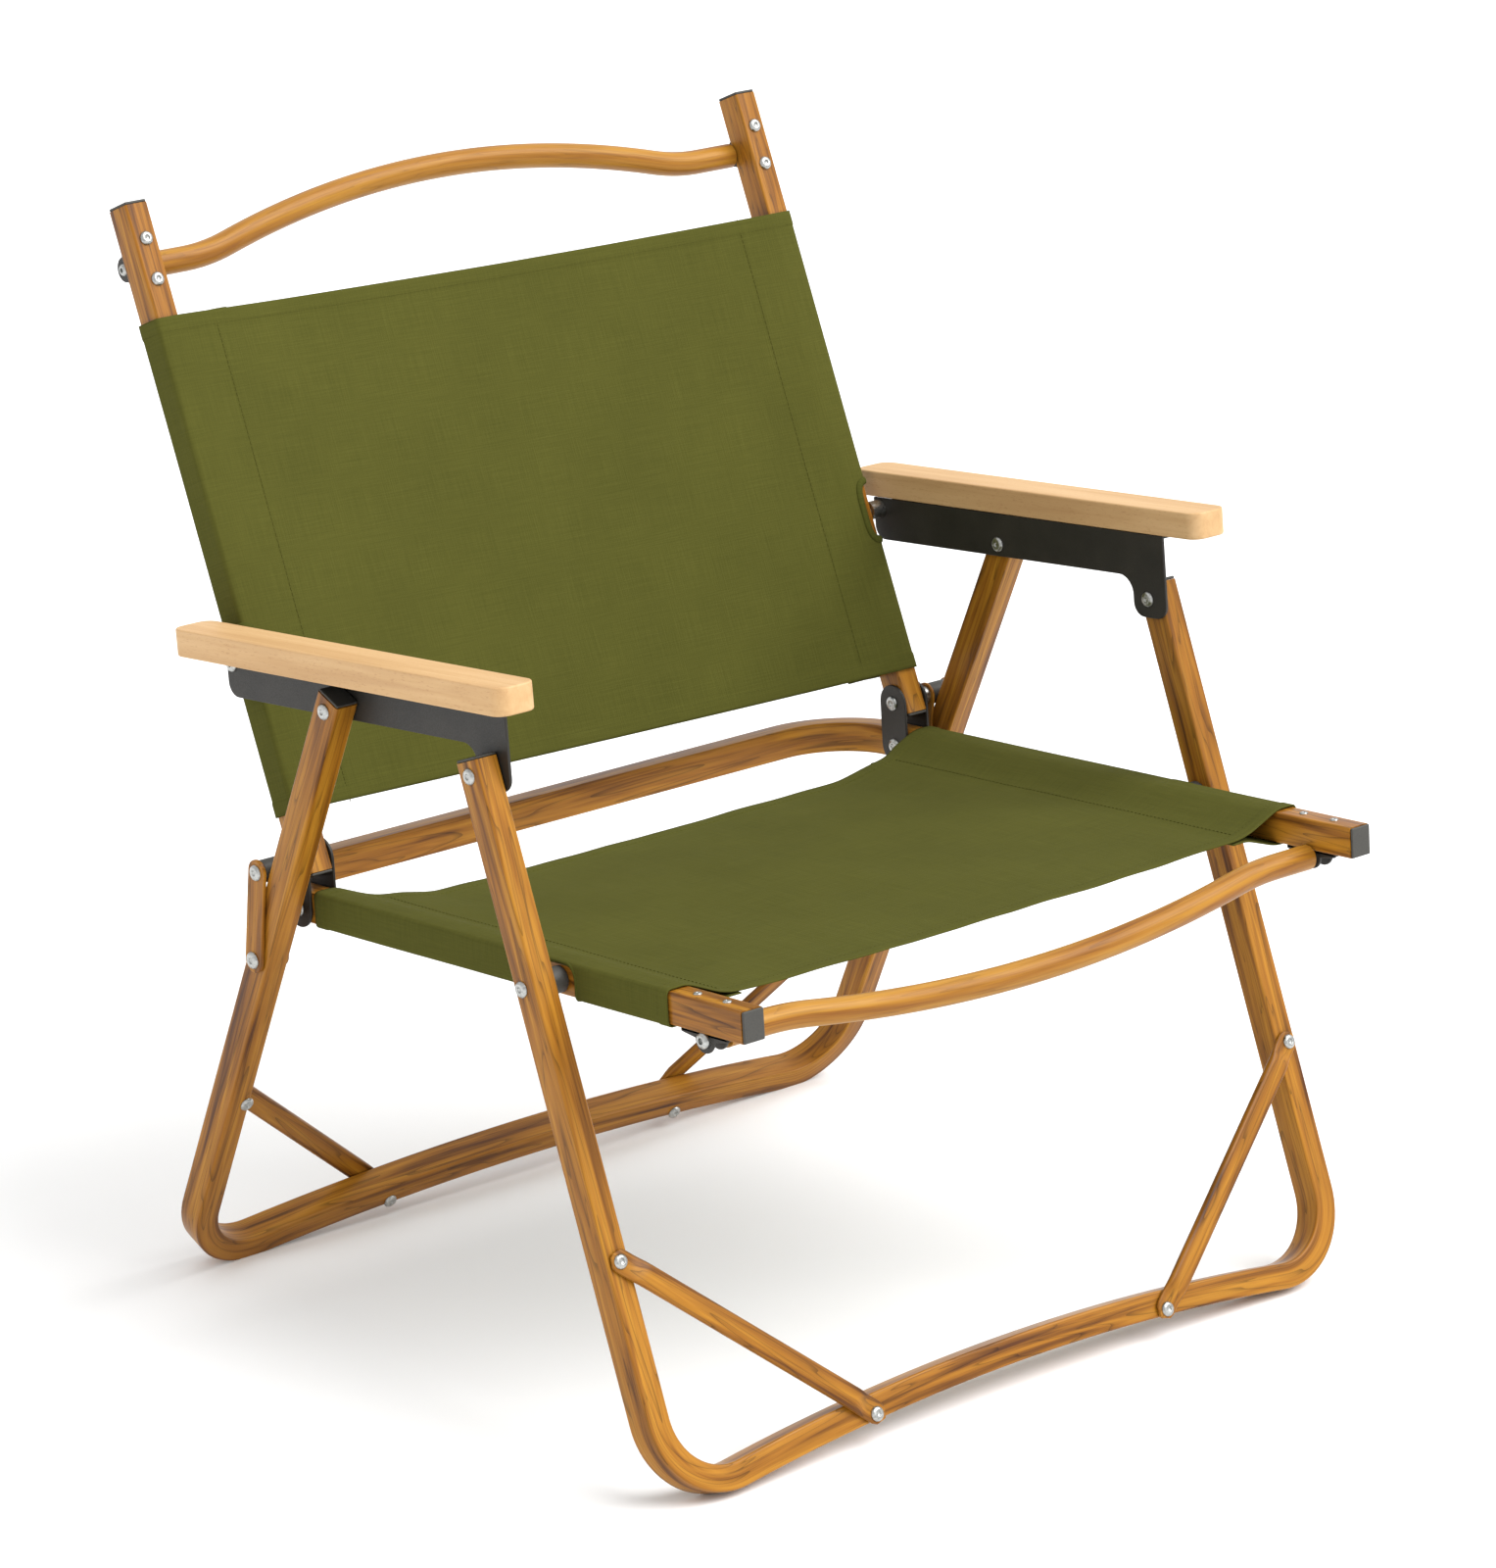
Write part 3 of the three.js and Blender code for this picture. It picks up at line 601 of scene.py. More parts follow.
def leg_frame(name, pivot, lean, length, brace_side, brace_ends, heads):
    body = BODY_OF[f"{name}_frame"]
    at = side_frame(pivot, tuple(-value for value in leaning(lean)))
    tube = Shell()
    sweep(tube, foot_path(LEG_X, -LEG_ABOVE_PIVOT, length, FOOT_BEND, FOOT_ARCH),
          rounded_section(TUBE, TUBE_DEEP), at, 400.0 * brace_side)
    tube.piece(f"{name}_tube", GRAIN_TUBE, body, [f"{name}_frame"], "grain_tube")
    for label, side in SIDES:
        lid(f"{name}_lid_{label}", f"{name}_cap_{label}", at, side * LEG_X,
            -LEG_ABOVE_PIVOT - GAP - CAP_THICK, -LEG_ABOVE_PIVOT - CAP_STANDS_OFF, 0.9)
        bar = Shell()
        brace(bar, at, side, brace_side * (TUBE_DEEP / 2 + GAP), BRACE_THICK,
              *brace_ends)
        bar.piece(f"{name}_stay_{label}", GRAIN_TUBE, body,
                  [f"{name}_brace_{label}"], "grain_tube")
    rivets = Shell()
    front = heading(at, 0, 0, -1)
    for _, side in SIDES:
        for x, u, level in heads:
            rivet_head(rivets, at(side * x, u, level), front, 4.6, 2.0)
    rivets.piece(f"{name}_rivets", BRIGHT_METAL, body, (), "bright_metal")


# ---- arms ----

def arc(centre_u, centre_v, radius, start, end, facets=10):
    return [(centre_u + radius * math.cos(math.radians(start + (end - start) * i / facets)),
             centre_v + radius * math.sin(math.radians(start + (end - start) * i / facets)))
            for i in range(facets + 1)]


def arm_plate_outline():
    """The web of the arm plate, as (along the armrest, below its top)."""
    under, strip, front, lobe_back, lobe_low = ARM_THICK + GAP, 45, 31, 60, 70.5
    corner, inside, rear = 9, 12, 300
    return [(front, under),
            *arc(front + corner, lobe_low - corner, corner, 180, 90),
            *arc(lobe_back - corner, lobe_low - corner, corner, 90, 0),
            *arc(lobe_back + inside, strip + inside, inside, 180, 270),
            *arc(rear - corner, strip - corner, corner, 90, 0),
            (rear, under)]


def arm(label, side):
    body = BODY_OF[f"armrest_{label}"]
    half, c = ARM_WIDTH / 2, ARM_CORNER
    plan = [*arc(ARM_LENGTH - c, half - c, c, 0, 90), *arc(c, half - c, c, 90, 180),
            *arc(c, -half + c, c, 180, 270), *arc(ARM_LENGTH - c, -half + c, c, 270, 360)]
    centre = side * (ARM_INNER_X + half)
    wood = Shell()
    wood.rings([[arm_at(centre + x, u, v) for u, x in plan] for v in (0.0, -ARM_THICK)],
               [[Vector((u + 500 * side, x, v)) * MM for u, x in plan]
                for v in (0.0, -ARM_THICK)])
    soften(wood.piece(f"armrest_wood_{label}", BEECH, body, [f"armrest_{label}"], "beech"),
           ARM_EDGE, 3)
    plate = Shell()
    side_plate(plate, [(u, -v) for u, v in arm_plate_outline()], arm_at,
               side * ARM_PLATE_X, side * (ARM_PLATE_X + PLATE_THICK))
    level = -ARM_THICK - GAP
    inner, outer = sorted((side * (ARM_PLATE_X + PLATE_THICK),
                           side * (ARM_PLATE_X + ARM_FLANGE_WIDTH)))
    block(plate, arm_at, (inner, ARM_FLANGE[0], level - PLATE_THICK),
          (outer, ARM_FLANGE[1], level))
    soften(plate.piece(f"arm_web_{label}", BLACK_PLATE, body, [f"arm_plate_{label}"],
                       "black_plate"), 0.5, 2)
    screws = Shell()
    down = heading(arm_at, 0, 0, -1)
    for u in ARM_SCREWS:
        screw_head(screws, arm_at(side * (ARM_PLATE_X + 12), u, level - PLATE_THICK), down,
                   3.8, 1.8)
    screws.piece(f"arm_screws_{label}", BRIGHT_METAL, body, (), "bright_metal")


def pin(name, side, from_x, to_x, at, shoulder=None, inner_radius=4.8):
    """A headed pin across the side plane, with a shoulder if given."""
    shell = Shell()
    out = Vector((side, 0, 0))
    rivet_head(shell, upright(side * to_x, *at), out, 5.0, 2.0)
    rivet_head(shell, upright(side * from_x, *at), -out, inner_radius, 2.0)
    lathe(shell, upright(side * from_x, *at), out,
          ((PIN_SHAFT_RADIUS, 0), (PIN_SHAFT_RADIUS, to_x - from_x)), 20)
    if shoulder:
        radius, start, end = shoulder
        lathe(shell, upright(side * start, *at), out, ((radius, 0), (radius, end - start)))
    shell.piece(f"{name}_rivet", BRIGHT_METAL, BODY_OF[name], [name], "bright_metal")


# ---- back and seat frames ----

def bracket(shell, side, at, along, depth, length):
    """A channel on a tube's face: a base and two cheeks that hold a round bar's end."""
    half, wide = length / 2, TUBE / 2 - 2
    top = -TUBE_DEEP / 2 - 0.1
    block(shell, at, (side * POST_X - wide, along - half, top - PLATE_THICK),
          (side * POST_X + wide, along + half, top))
    cheek = [(along - half, top), (along - half, top - 2.4)]
    cheek += [(along + BAR_RADIUS * math.cos(a), -depth + BAR_RADIUS * math.sin(a))
              for a in [math.radians(180 + 180 * i / 16) for i in range(17)]]
    cheek += [(along + half, top - 2.4), (along + half, top)]
    for x in (side * POST_X - wide, side * POST_X + wide - PLATE_THICK):
        side_plate(shell, cheek, at, x, x + PLATE_THICK)


def back_frame():
    body = BODY_OF["post_left"]
    front = heading(post_at, 0, 0, 1)
    rivets = Shell()
    for label, side in SIDES:
        post = Shell()
        path = [(side * POST_X, -POST_LENGTH * i / 8) for i in range(9)]
        sweep(post, path, rounded_section(TUBE, TUBE_DEEP), post_at, 1500.0 + 700 * side)
        post.piece(f"post_tube_{label}", GRAIN_TUBE, body, [f"post_{label}"], "grain_tube")
        for end, low, high in (("cap", CAP_STANDS_OFF, GAP + CAP_THICK),
                               ("plug", -POST_LENGTH - GAP - CAP_THICK,
                                -POST_LENGTH - CAP_STANDS_OFF)):
            lid(f"post_{end}_lid_{label}", f"post_{end}_{label}", post_at, side * POST_X,
                low, high, 0.8)
        channel = Shell()
        bracket(channel, side, post_at, -HANDLE_DROP, HANDLE_BACK, HANDLE_BRACKET)
        soften(channel.piece(f"handle_channel_{label}", BLACK_PLATE, body,
                             [f"handle_bracket_{label}"], "black_plate"), 0.5, 2)
        for drop in HANDLE_RIVETS:
            rivet_head(rivets, post_at(side * POST_X, -drop, TUBE_DEEP / 2), front, 4.4, 2.2)
        screw_head(rivets, post_at(side * (POST_X + 6), -HANDLE_DROP, -HANDLE_BACK),
                   Vector((side, 0, 0)), 3.8, 2.6)
    rivets.piece("post_rivets", BRIGHT_METAL, body, (), "bright_metal")
    bar = Shell()
    reach = POST_X - TUBE / 2 - 4 * GAP
    sweep(bar, arch_path(reach, HANDLE_ARCH), round_section(BAR_RADIUS),
          lambda x, u, v: post_at(x, u - HANDLE_DROP, v - HANDLE_BACK), 3000.0)
    bar.piece("handle_round_bar", PALE_BAR, body, ["handle_bar"], "pale_bar")


def seat_frame():
    body = BODY_OF["seat_frame"]
    up = heading(rail_at, 0, 0, 1)
    tube = Shell()
    sweep(tube, foot_path(POST_X, 0, RAIL_FRONT + RAIL_REAR, RAIL_BEND, 0),
          rounded_section(TUBE, TUBE_DEEP), rail_at, 5200.0)
    tube.piece("seat_rail_tube", GRAIN_TUBE, body, ["seat_frame"], "grain_tube")
    rivets = Shell()
    for label, side in SIDES:
        lid(f"rail_lid_{label}", f"seat_cap_{label}", rail_at, side * POST_X,
            -GAP - CAP_THICK, -CAP_STANDS_OFF, 0.8)
        channel = Shell()
        bracket(channel, side, rail_at, STRETCHER_BACK, STRETCHER_DROP, STRETCHER_BRACKET)
        soften(channel.piece(f"stretcher_channel_{label}", BLACK_PLATE, body,
                             [f"stretcher_bracket_{label}"], "black_plate"), 0.5, 2)
        for where, start in (("inner", POST_X - TUBE / 2 - GAP - PLATE_THICK),
                             ("outer", POST_X + TUBE / 2 + GAP)):
            plate = Shell()
            side_plate(plate, stadium(PIVOT_SEAT_BACK, KNEE_LOW, KNEE_PLATE_RADIUS), upright,
                       side * start, side * (start + PLATE_THICK))
            soften(plate.piece(f"knee_{where}_{label}", BLACK_PLATE, body,
                               [f"knee_plate_{where}_{label}"], "black_plate"), 0.6, 3)
        for back in RAIL_RIVETS:
            rivet_head(rivets, rail_at(side * POST_X, back, TUBE_DEEP / 2), up, 2.6, 1.0)
        screw_head(rivets, rail_at(side * (POST_X + 6), STRETCHER_BACK, -STRETCHER_DROP),
                   Vector((side, 0, 0)), 5.0, 3.0)
        pin(f"knee_rivet_{label}", side, POST_X - TUBE / 2 - PLATE_THICK - GAP,
            POST_X + TUBE / 2 + PLATE_THICK + GAP, KNEE_LOW)
    rivets.piece("rail_rivets", BRIGHT_METAL, body, (), "bright_metal")
    tilt = math.radians(-90 - STRETCHER_TIP)

    def tipped(x, u, v):
        return rail_at(x, u * math.cos(tilt) - v * math.sin(tilt) + STRETCHER_BACK,
                       u * math.sin(tilt) + v * math.cos(tilt) - STRETCHER_DROP)
    bar = Shell()
    reach = POST_X - TUBE / 2 - 4 * GAP
    sweep(bar, arch_path(reach, STRETCHER_ARCH), round_section(BAR_RADIUS), tipped, 4100.0)
    bar.piece("front_round_bar", PALE_BAR, body, ["front_stretcher"], "pale_bar")


def links(label, side):
    body = BODY_OF[f"link_inner_{label}"]
    length = math.dist(PIVOT_SEAT_BACK, PIVOT_LINK)
    along = tuple((b - a) / length for a, b in zip(PIVOT_SEAT_BACK, PIVOT_LINK))
    outline = stadium(PIVOT_SEAT_BACK, PIVOT_LINK, LINK_WIDTH / 2)
    for where, start, thick in (("inner", ARM_PLATE_X, PLATE_THICK),
                                ("outer", LINK_OUTER_X, LINK_OUTER_THICK)):
        bar = Shell()
        side_plate(bar, outline, upright, side * start, side * (start + thick), along)
        soften(bar.piece(f"link_bar_{where}_{label}", GRAIN_TUBE, body,
                         [f"link_{where}_{label}"], "grain_tube"), 0.7, 3)
    face = LINK_OUTER_X + LINK_OUTER_THICK
    out = Vector((side, 0, 0))
    head = Shell()
    rivet_head(head, upright(side * face, *PIVOT_LINK), out, 5.4, 2.2)
    head.piece(f"link_head_{label}", BRIGHT_METAL, body, [f"link_rivet_{label}"],
               "bright_metal")
    bush = Shell()
    lathe(bush, upright(side * (ARM_PLATE_X + PLATE_THICK + 0.1), *PIVOT_SEAT_BACK), out,
          ((3.1, 0), (6.4, 0), (7, 0.6), (7, 16.2), (6.4, 16.8), (3.1, 16.8)), 32)
    bush.piece(f"link_sleeve_{label}", BLACK_PLASTIC, body, [f"link_bush_{label}"],
               "black_plastic")
    pin(f"seat_bolt_{label}", side, POST_X - TUBE / 2 - PLATE_THICK - GAP, face,
        PIVOT_SEAT_BACK, (6, POST_X + TUBE / 2 + PLATE_THICK + GAP, ARM_PLATE_X))


# ---- canvas slings ----

def fillet(points, facets=7):
    """Round the corners of an (x, v, radius) line and return plain (x, v) points."""
    out = []
    for i, (x, v, radius) in enumerate(points):
        here = Vector((x, v))
        if radius <= 0 or i in (0, len(points) - 1):
            out.append(here)
            continue
        before = (Vector(points[i - 1][:2]) - here).normalized() * radius
        after = (Vector(points[i + 1][:2]) - here).normalized() * radius
        for k in range(facets + 1):
            t = k / facets
            out.append((here + before) * (1 - t) ** 2 + here * 2 * t * (1 - t)
                       + (here + after) * t ** 2)
    return out


def resample(line, longest):
    """Add points so that no step of a line is longer than the given length."""
    out = [line[0]]
    for point in line[1:]:
        gap = (point - out[-1]).length
        if gap < 1e-6:
            continue
        start, parts = out[-1], max(1, math.ceil(gap / longest))
        out += [start.lerp(point, k / parts) for k in range(1, parts + 1)]
    return out


def squarish(a, b):
    """Distance whose unit circle is a square with well rounded corners."""
    return (a ** 4 + b ** 4) ** 0.25


class Sling:
    """A sheet whose cross-section wraps two tubes, straight along the frame's u axis."""

    def __init__(self, at, half_section, span, wander, edge_shift):
        line = resample(fillet(half_section), 3.0)
        lengths = [0.0]
        for a, b in zip(line, line[1:]):
            lengths.append(lengths[-1] + (b - a).length)
        self.at, self.line, self.lengths = at, line, lengths
        self.start, self.end = span
        self.wander, self.edge_shift = wander, edge_shift
        self.half = lengths[-1]

    def section(self, s):
        """Point and outward normal (x, v) at a distance s from the middle."""
        reach = min(abs(s), self.half)
        low, high = 0, len(self.lengths) - 1
        while high - low > 1:
            mid = (low + high) // 2
            low, high = (mid, high) if self.lengths[mid] <= reach else (low, mid)
        a, b = self.line[low], self.line[high]
        share = (reach - self.lengths[low]) / (self.lengths[high] - self.lengths[low])
        point = a.lerp(b, share)
        before = self.line[max(low - 1, 0)]
        after = self.line[min(high + 1, len(self.line) - 1)]
        tangent = (after - before).normalized()
        normal = Vector((-tangent.y, tangent.x))
        if low == 0:
            normal = Vector((0, 1))
        if s < 0:
            point, normal = Vector((-point.x, point.y)), Vector((-normal.x, normal.y))
        return point, normal

    def stations(self):
        right = self.lengths[1:]
        return [-s for s in reversed(right)] + [0.0] + right

    def point(self, s, t, lift=0.0):
        """The surface point at s across and share t from the first edge to the last."""
        point, normal = self.section(s)
        u = self.along(s, t)
        height = lift + self.wander(s, u, self)
        place = point + normal * height
        return self.at(place.x, u, place.y)

    def edges(self, s):
        return self.start + self.edge_shift(s, 0), self.end + self.edge_shift(s, 1)

    def along(self, s, t):
        start, end = self.edges(s)
        return start + (end - start) * t

    def share(self, s, u):
        start, end = self.edges(s)
        return (u - start) / (end - start)

    def hem(self, t, width, rise=0.45):
        """Extra lift of the doubled hem within a width of either edge."""
        length = abs(self.end - self.start)
        inside = min(t, 1 - t) * length
        return rise * min(max((width + 0.6 - inside) / 1.2, 0.0), 1.0)

    def sheet(self, name, body, nodes, rows, holes, hem_width):
        stations = self.stations()
        shares = [i / rows for i in range(rows + 1)]
        length = self.end - self.start
        verts, coords, inside = [], [], []
        for t in shares:
            for s in stations:
                u = self.along(s, t)
                within = False
                where = s
                for centre_s, centre_u, half_s, half_u in holes:
                    ds, du = (where - centre_s) / half_s, (u - centre_u) / half_u
                    far = squarish(ds, du)
                    if far < 1.0:
                        within = True
                        far = max(far, 1e-6)
                        where = centre_s + ds / far * half_s
                        u = centre_u + du / far * half_u
                share = self.share(where, u)
                verts.append(self.point(where, share, self.hem(share, hem_width)))
                coords.append(Vector((where, share * abs(length), 0)) * MM)
                inside.append(within)
        faces, count = [], len(stations)
        for i in range(rows):
            for k in range(count - 1):
                face = (i * count + k, i * count + k + 1, (i + 1) * count + k + 1,
                        (i + 1) * count + k)
                if not all(inside[v] for v in face):
                    faces.append(face)
        used = sorted({v for face in faces for v in face})
        index = {v: n for n, v in enumerate(used)}
        shell = Shell("cloth")
        shell.add([verts[v] for v in used], [[index[v] for v in face] for face in faces],
                  [coords[v] for v in used])
        made = shell.piece(name, CANVAS, body, nodes, "canvas", 0)
        thick = made.modifiers.new("thickness", "SOLIDIFY")
        thick.thickness = CLOTH_THICK * MM
        thick.offset = 0.0
        return made

    def normal(self, s, share):
        a = self.point(s - 0.5, share)
        b = self.point(s + 0.5, share)
        c = self.point(s, share + 0.002)
        return (b - a).cross(c - self.point(s, share)).normalized()

    def cord_line(self, shell, line, radius, lift, closed=False, flat=1.0, facets=10):
        """A round or flattened cord laid on the sheet along (s, u) points."""
        places = [self.point(s, self.share(s, u), lift) for s, u in line]
        count = len(places)
        rings, coords, travelled = [], [], 0.0
        for i, place in enumerate(places):
            before = places[i - 1] if i or closed else place
            after = places[(i + 1) % count] if i < count - 1 or closed else place
            tangent = (after - before).normalized()
            s, u = line[i]
            up = self.normal(s, self.share(s, u))
            across = tangent.cross(up).normalized()
            up = across.cross(tangent)
            travelled += (place - places[i - 1]).length if i else 0.0
            ring, grain = [], []
            for k in range(facets):
                angle = 2 * math.pi * k / facets
                ring.append(place + (across * math.cos(angle) * radius
                                     + up * math.sin(angle) * radius * flat) * MM)
                grain.append(Vector((travelled, angle * radius * MM, 0)))
            rings.append(ring)
            coords.append(grain)
        if closed:
            rings.append(rings[0])
            coords.append(coords[0])
        shell.rings(rings, coords, not closed)

    def hem_stitches(self, shell, shares):
        """A line of stitches across the sheet at each share of its length."""
        reach = self.half - 30
        for share in shares:
            across = [-reach + 2 * reach * k / 100 for k in range(101)]
            self.stitches(shell, [(s, self.along(s, share)) for s in across])

    def stitches(self, shell, line, pitch=3.4, length=2.5, radius=0.26, lift=0.6):
        """Separate stitches of thread along an (s, u) line."""
        total = [0.0]
        for a, b in zip(line, line[1:]):
            total.append(total[-1] + math.dist(a, b))

        def spot(d):
            for i in range(len(line) - 1):
                if d <= total[i + 1]:
                    k = (d - total[i]) / (total[i + 1] - total[i])
                    return (line[i][0] + (line[i + 1][0] - line[i][0]) * k,
                            line[i][1] + (line[i + 1][1] - line[i][1]) * k)
            return line[-1]
        d = pitch / 2
        while d + length < total[-1]:
            ends = [spot(d), spot(d + length)]
            a, b = [self.point(s, self.share(s, u), lift) for s, u in ends]
            s, u = ends[0]
            up = self.normal(s, self.share(s, u))
            tangent = (b - a).normalized()
            across = tangent.cross(up).normalized()
            rings, coords = [], []
            for t, width, sink in ((0.0, 0.35, -0.5), (0.16, 0.9, 0.0), (0.5, 1.0, 0.12),
                                   (0.84, 0.9, 0.0), (1.0, 0.35, -0.5)):
                middle = a.lerp(b, t) + up * sink * MM
                rings.append([middle + (across * math.cos(math.pi * k / 3)
                                        + up * math.sin(math.pi * k / 3)) * radius * width * MM
                              for k in range(6)])
                coords.append([Vector((d + t * length, k * 0.3, 0)) * MM for k in range(6)])
            shell.rings(rings, coords)
            d += pitch


def ripples(strength):
    """Gentle fixed unevenness of stretched cloth, strongest away from the tubes."""
    def wander(s, u, sling):
        point, _ = sling.section(s)
        free = min(max((POST_X - 14 - abs(point.x)) / 40.0, 0.0), 1.0)
        if abs(s) > POST_X:
            free = 0.15
        broad = noise.noise(Vector((s / 95, u / 130, 3.7)))
        fine = noise.noise(Vector((s / 30, u / 60, 9.1)))
        return strength * free * (broad + fine * 0.35)
    return wander


def loop_round(centre_s, centre_u, half_s, half_u, facets=64):
    points = []
    for k in range(facets):
        a = math.cos(2 * math.pi * k / facets)
        b = math.sin(2 * math.pi * k / facets)
        far = squarish(a, b)
        points.append((centre_s + half_s * a / far, centre_u + half_u * b / far))
    return points


def eased(value):
    value = min(max(value, 0.0), 1.0)
    return value * value * (3 - 2 * value)


def straight(s_from, s_to, u_from, u_to, parts=60):
    return [(s_from + (s_to - s_from) * k / parts, u_from + (u_to - u_from) * k / parts)
            for k in range(parts + 1)]


def back_sling():
    face = TUBE_DEEP / 2 + CLOTH_STANDS_OFF
    outer = POST_X + TUBE / 2 + CLOTH_STANDS_OFF
    inner = POST_X - TUBE / 2 - 1.0
    span = POST_X - TUBE / 2

    def depth(x):
        return face - BACK_HOLLOW * (1 - (x / span) ** 2)
    half = [(x, depth(x), 0) for x in [span * i / 40 for i in range(40)]]
    half += [(span, face, 0), (outer, face, 3.2), (outer, -face, 3.2), (inner, -face, 6.0),
             (209, depth(209) - 1.1, 5.0), (196, depth(196) - 1.1, 0)]

    def edge(s, _):
        return -BACK_SLANT * min(max(s, -span), span)
    sling = Sling(post_at, half, (-BACK_PANEL[0], -BACK_PANEL[1]), ripples(1.2), edge)
    pivot_u, pivot_v = local_of(POST_TOP, POST_UP, PIVOT_ARM_BACK)
    side_s = next(length for point, length in zip(sling.line, sling.lengths)
                  if point.x > outer - 0.01 and point.y < pivot_v + 1)
    hole = [(sign * side_s, pivot_u, *BACK_OPENING) for sign in (-1, 1)]
    cloth = sling.sheet("back_cloth", BODY_OF["back_canvas"], ["back_canvas"], 150, hole,
                        HEM_WIDTH)
    rim = Shell("cloth")
    for centre_s, centre_u, half_s, half_u in hole:
        sling.cord_line(rim, loop_round(centre_s, centre_u, half_s + 1, half_u + 1), 2.6, 0.3,
                        True, 0.6)
    binding = rim.piece("back_binding", BINDING, BODY_OF["back_canvas"], (), "canvas", 0)
    thread = Shell("cloth")
    seam = 0.0
    for point, length in zip(sling.line, sling.lengths):
        if point.x < 208:
            seam = length
        else:
            break
    top, low = -BACK_PANEL[0] - 2, -BACK_PANEL[1] + 2
    for sign in (-1, 1):
        sling.stitches(thread, straight(sign * seam, sign * seam, top, low))
    sling.hem_stitches(thread, (0.029, 0.971))
    stitching = thread.piece("back_stitching", THREAD, BODY_OF["back_canvas"], (), "canvas", 0)


def seat_sling():
    face = TUBE_DEEP / 2 + CLOTH_STANDS_OFF
    outer = POST_X + TUBE / 2 + CLOTH_STANDS_OFF
    inner = POST_X - TUBE / 2
    half = [(x, -1.5 - 2.2 * (1 - (x / 200) ** 2), 0) for x in [200 * i / 34 for i in range(34)]]
    half += [(207, -1.5, 12.0), (inner + 2, face, 5.0), (outer, face, 3.2),
             (outer, -face, 3.2), (inner - 1, -face, 6.0), (209, -2.7, 5.0), (197, -2.8, 0)]

    uneven = ripples(1.4)

    def drape(s, u, sling):
        rearward = eased((u - SEAT_PANEL[1] + 140) / 140)
        return uneven(s, u, sling) - SEAT_REAR_SAG * rearward * eased((205 - abs(s)) / 45)

    def edge(s, last):
        return SEAT_SLEEVE_BACK * (1 - eased((222 - abs(s)) / 20)) if last else 0.0
    sling = Sling(rail_at, half, SEAT_PANEL, drape, edge)
    pivot_u, _ = local_of(RAIL_TIP, RAIL_BACK, PIVOT_SEAT_FRONT)
    side_s = next(length for point, length in zip(sling.line, sling.lengths)
                  if point.x > outer - 0.01 and point.y < 1)
    hole = [(sign * (side_s + 3), pivot_u, *SEAT_OPENING) for sign in (-1, 1)]
    cloth = sling.sheet("seat_cloth", BODY_OF["seat_canvas"], ["seat_canvas"], 158, hole,
                        HEM_WIDTH)
    rim = Shell("cloth")
    for centre_s, centre_u, half_s, half_u in hole:
        sling.cord_line(rim, loop_round(centre_s, centre_u, half_s, half_u), 1.1, 0.1,
                        True, 0.9)
    binding = rim.piece("seat_binding", BINDING, BODY_OF["seat_canvas"], (), "canvas", 0)
    thread = Shell("cloth")
    seam = 206.0
    for sign in (-1, 1):
        sling.stitches(thread, straight(sign * seam, sign * seam, SEAT_PANEL[0] + 2,
                                        SEAT_PANEL[1] - 2))
    sling.hem_stitches(thread, (0.028, 0.972))
    stitching = thread.piece("seat_stitching", THREAD, BODY_OF["seat_canvas"], (), "canvas", 0)


# ---- assembly ----

front_level = -(TUBE_DEEP / 2 + GAP + BRACE_THICK * 0.45)
leg_frame("rear_leg", PIVOT_ARM_REAR, REAR_LEG_LEAN, REAR_LEG_LENGTH, 1, REAR_BRACE,
          [(265.5, 300.0, -TUBE_DEEP / 2), (119.0, 428.0, -TUBE_DEEP / 2)])
leg_frame("front_leg", PIVOT_ARM_FRONT, FRONT_LEG_LEAN, FRONT_LEG_LENGTH, -1, FRONT_BRACE,
          [(271.0, 289.0, front_level), (119.0, 421.0, front_level)])
for label, side in SIDES:
    arm(label, side)
    plate_in, leg_out = ARM_PLATE_X, LEG_X + TUBE / 2
    pin(f"arm_pin_rear_{label}", side, plate_in, leg_out, PIVOT_ARM_REAR)
    pin(f"arm_pin_front_{label}", side, plate_in, leg_out, PIVOT_ARM_FRONT)
    pin(f"arm_pin_back_{label}", side, POST_X - TUBE / 2, ARM_PLATE_X + PLATE_THICK,
        PIVOT_ARM_BACK, (6, POST_X + TUBE / 2 + GAP, plate_in), 3.4)
    pin(f"seat_pin_{label}", side, POST_X - TUBE / 2, leg_out, PIVOT_SEAT_FRONT)
    spacer = Shell()
    lathe(spacer, upright(side * (POST_X + TUBE / 2 + 0.1), *PIVOT_SEAT_FRONT),
          Vector((side, 0, 0)), ((3.1, 0), (7.4, 0), (8, 0.6), (8, 12.0), (7.4, 12.6),
                                 (3.1, 12.6)), 32)
    spacer.piece(f"seat_sleeve_{label}", BLACK_PLASTIC, BODY_OF[f"seat_spacer_{label}"],
                 [f"seat_spacer_{label}"], "black_plastic")
    links(label, side)
back_frame()
seat_frame()
back_sling()
seat_sling()


# ---- stage, light and camera ----

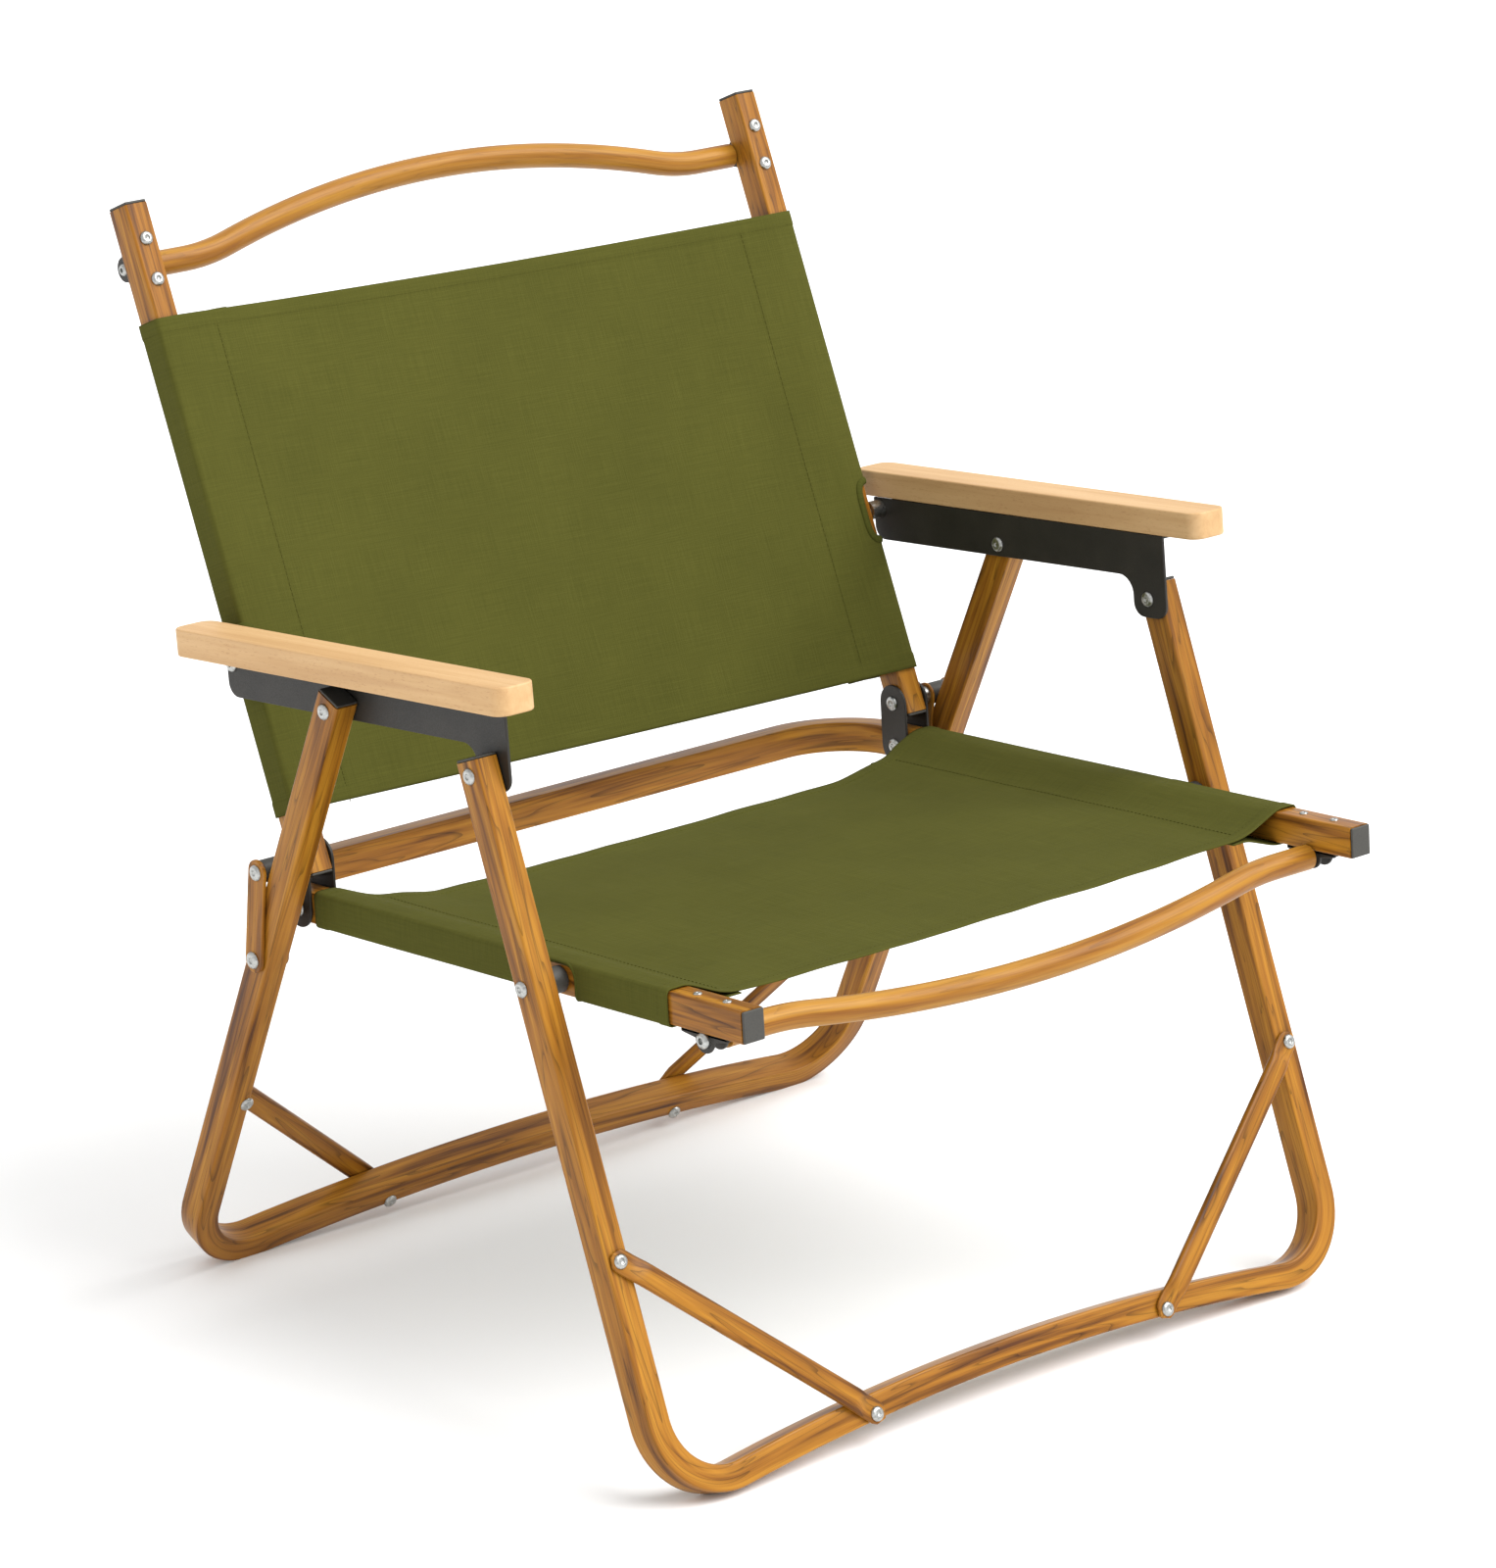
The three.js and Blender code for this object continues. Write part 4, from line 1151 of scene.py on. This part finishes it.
CAMERA_PLACE = (-2.3484, -2.7232, 1.5124)   # metres
CAMERA_AZIMUTH = -40.658
CAMERA_ELEVATION = 18.755
CAMERA_LENS = 142.09
CAMERA_SHIFT = (0.0143, 0.0243)
FLOOR_HALF = 6.0


def plain(name, tint, roughness):
    shader = Shader(name, Base_Color=tint, Roughness=roughness, Specular_IOR_Level=0.2)
    return shader.material


def floor():
    half = FLOOR_HALF
    mesh = bpy.data.meshes.new("floor")
    mesh.from_pydata([(-half, -half, 0), (half, -half, 0), (half, half, 0), (-half, half, 0)],
                     [], [(0, 1, 2, 3)])
    mesh.materials.append(plain("floor_white", (0.92, 0.92, 0.92, 1.0), 0.9))
    made = bpy.data.objects.new("floor", mesh)
    bpy.context.scene.collection.objects.link(made)


def sun(name, toward, strength, spread):
    light = bpy.data.lights.new(name, "SUN")
    light.energy = strength
    light.angle = math.radians(spread)
    made = bpy.data.objects.new(name, light)
    made.rotation_euler = Vector(toward).to_track_quat("Z", "Y").to_euler()
    bpy.context.scene.collection.objects.link(made)


def light_and_camera():
    world = bpy.data.worlds.new("pale_room")
    world.use_nodes = True
    world.node_tree.nodes["Background"].inputs["Color"].default_value = (1.0, 1.0, 1.0, 1.0)
    world.node_tree.nodes["Background"].inputs["Strength"].default_value = 1.0
    bpy.context.scene.world = world
    sun("key", (0.6, -0.8, 1.2), 3.2, 50)
    bpy.context.scene.view_settings.view_transform = "Standard"
    camera = bpy.data.cameras.new("camera")
    camera.lens = CAMERA_LENS
    camera.sensor_width = 36.0
    camera.shift_x, camera.shift_y = CAMERA_SHIFT
    camera.clip_start = 0.05
    camera.clip_end = 50.0
    made = bpy.data.objects.new("camera", camera)
    azimuth, elevation = math.radians(CAMERA_AZIMUTH), math.radians(CAMERA_ELEVATION)
    back = Vector((math.sin(azimuth) * math.cos(elevation),
                   -math.cos(azimuth) * math.cos(elevation), math.sin(elevation)))
    made.location = CAMERA_PLACE
    made.rotation_mode = "QUATERNION"
    made.rotation_quaternion = (-back).to_track_quat("-Z", "Y")
    bpy.context.scene.collection.objects.link(made)
    bpy.context.scene.camera = made


floor()
light_and_camera()
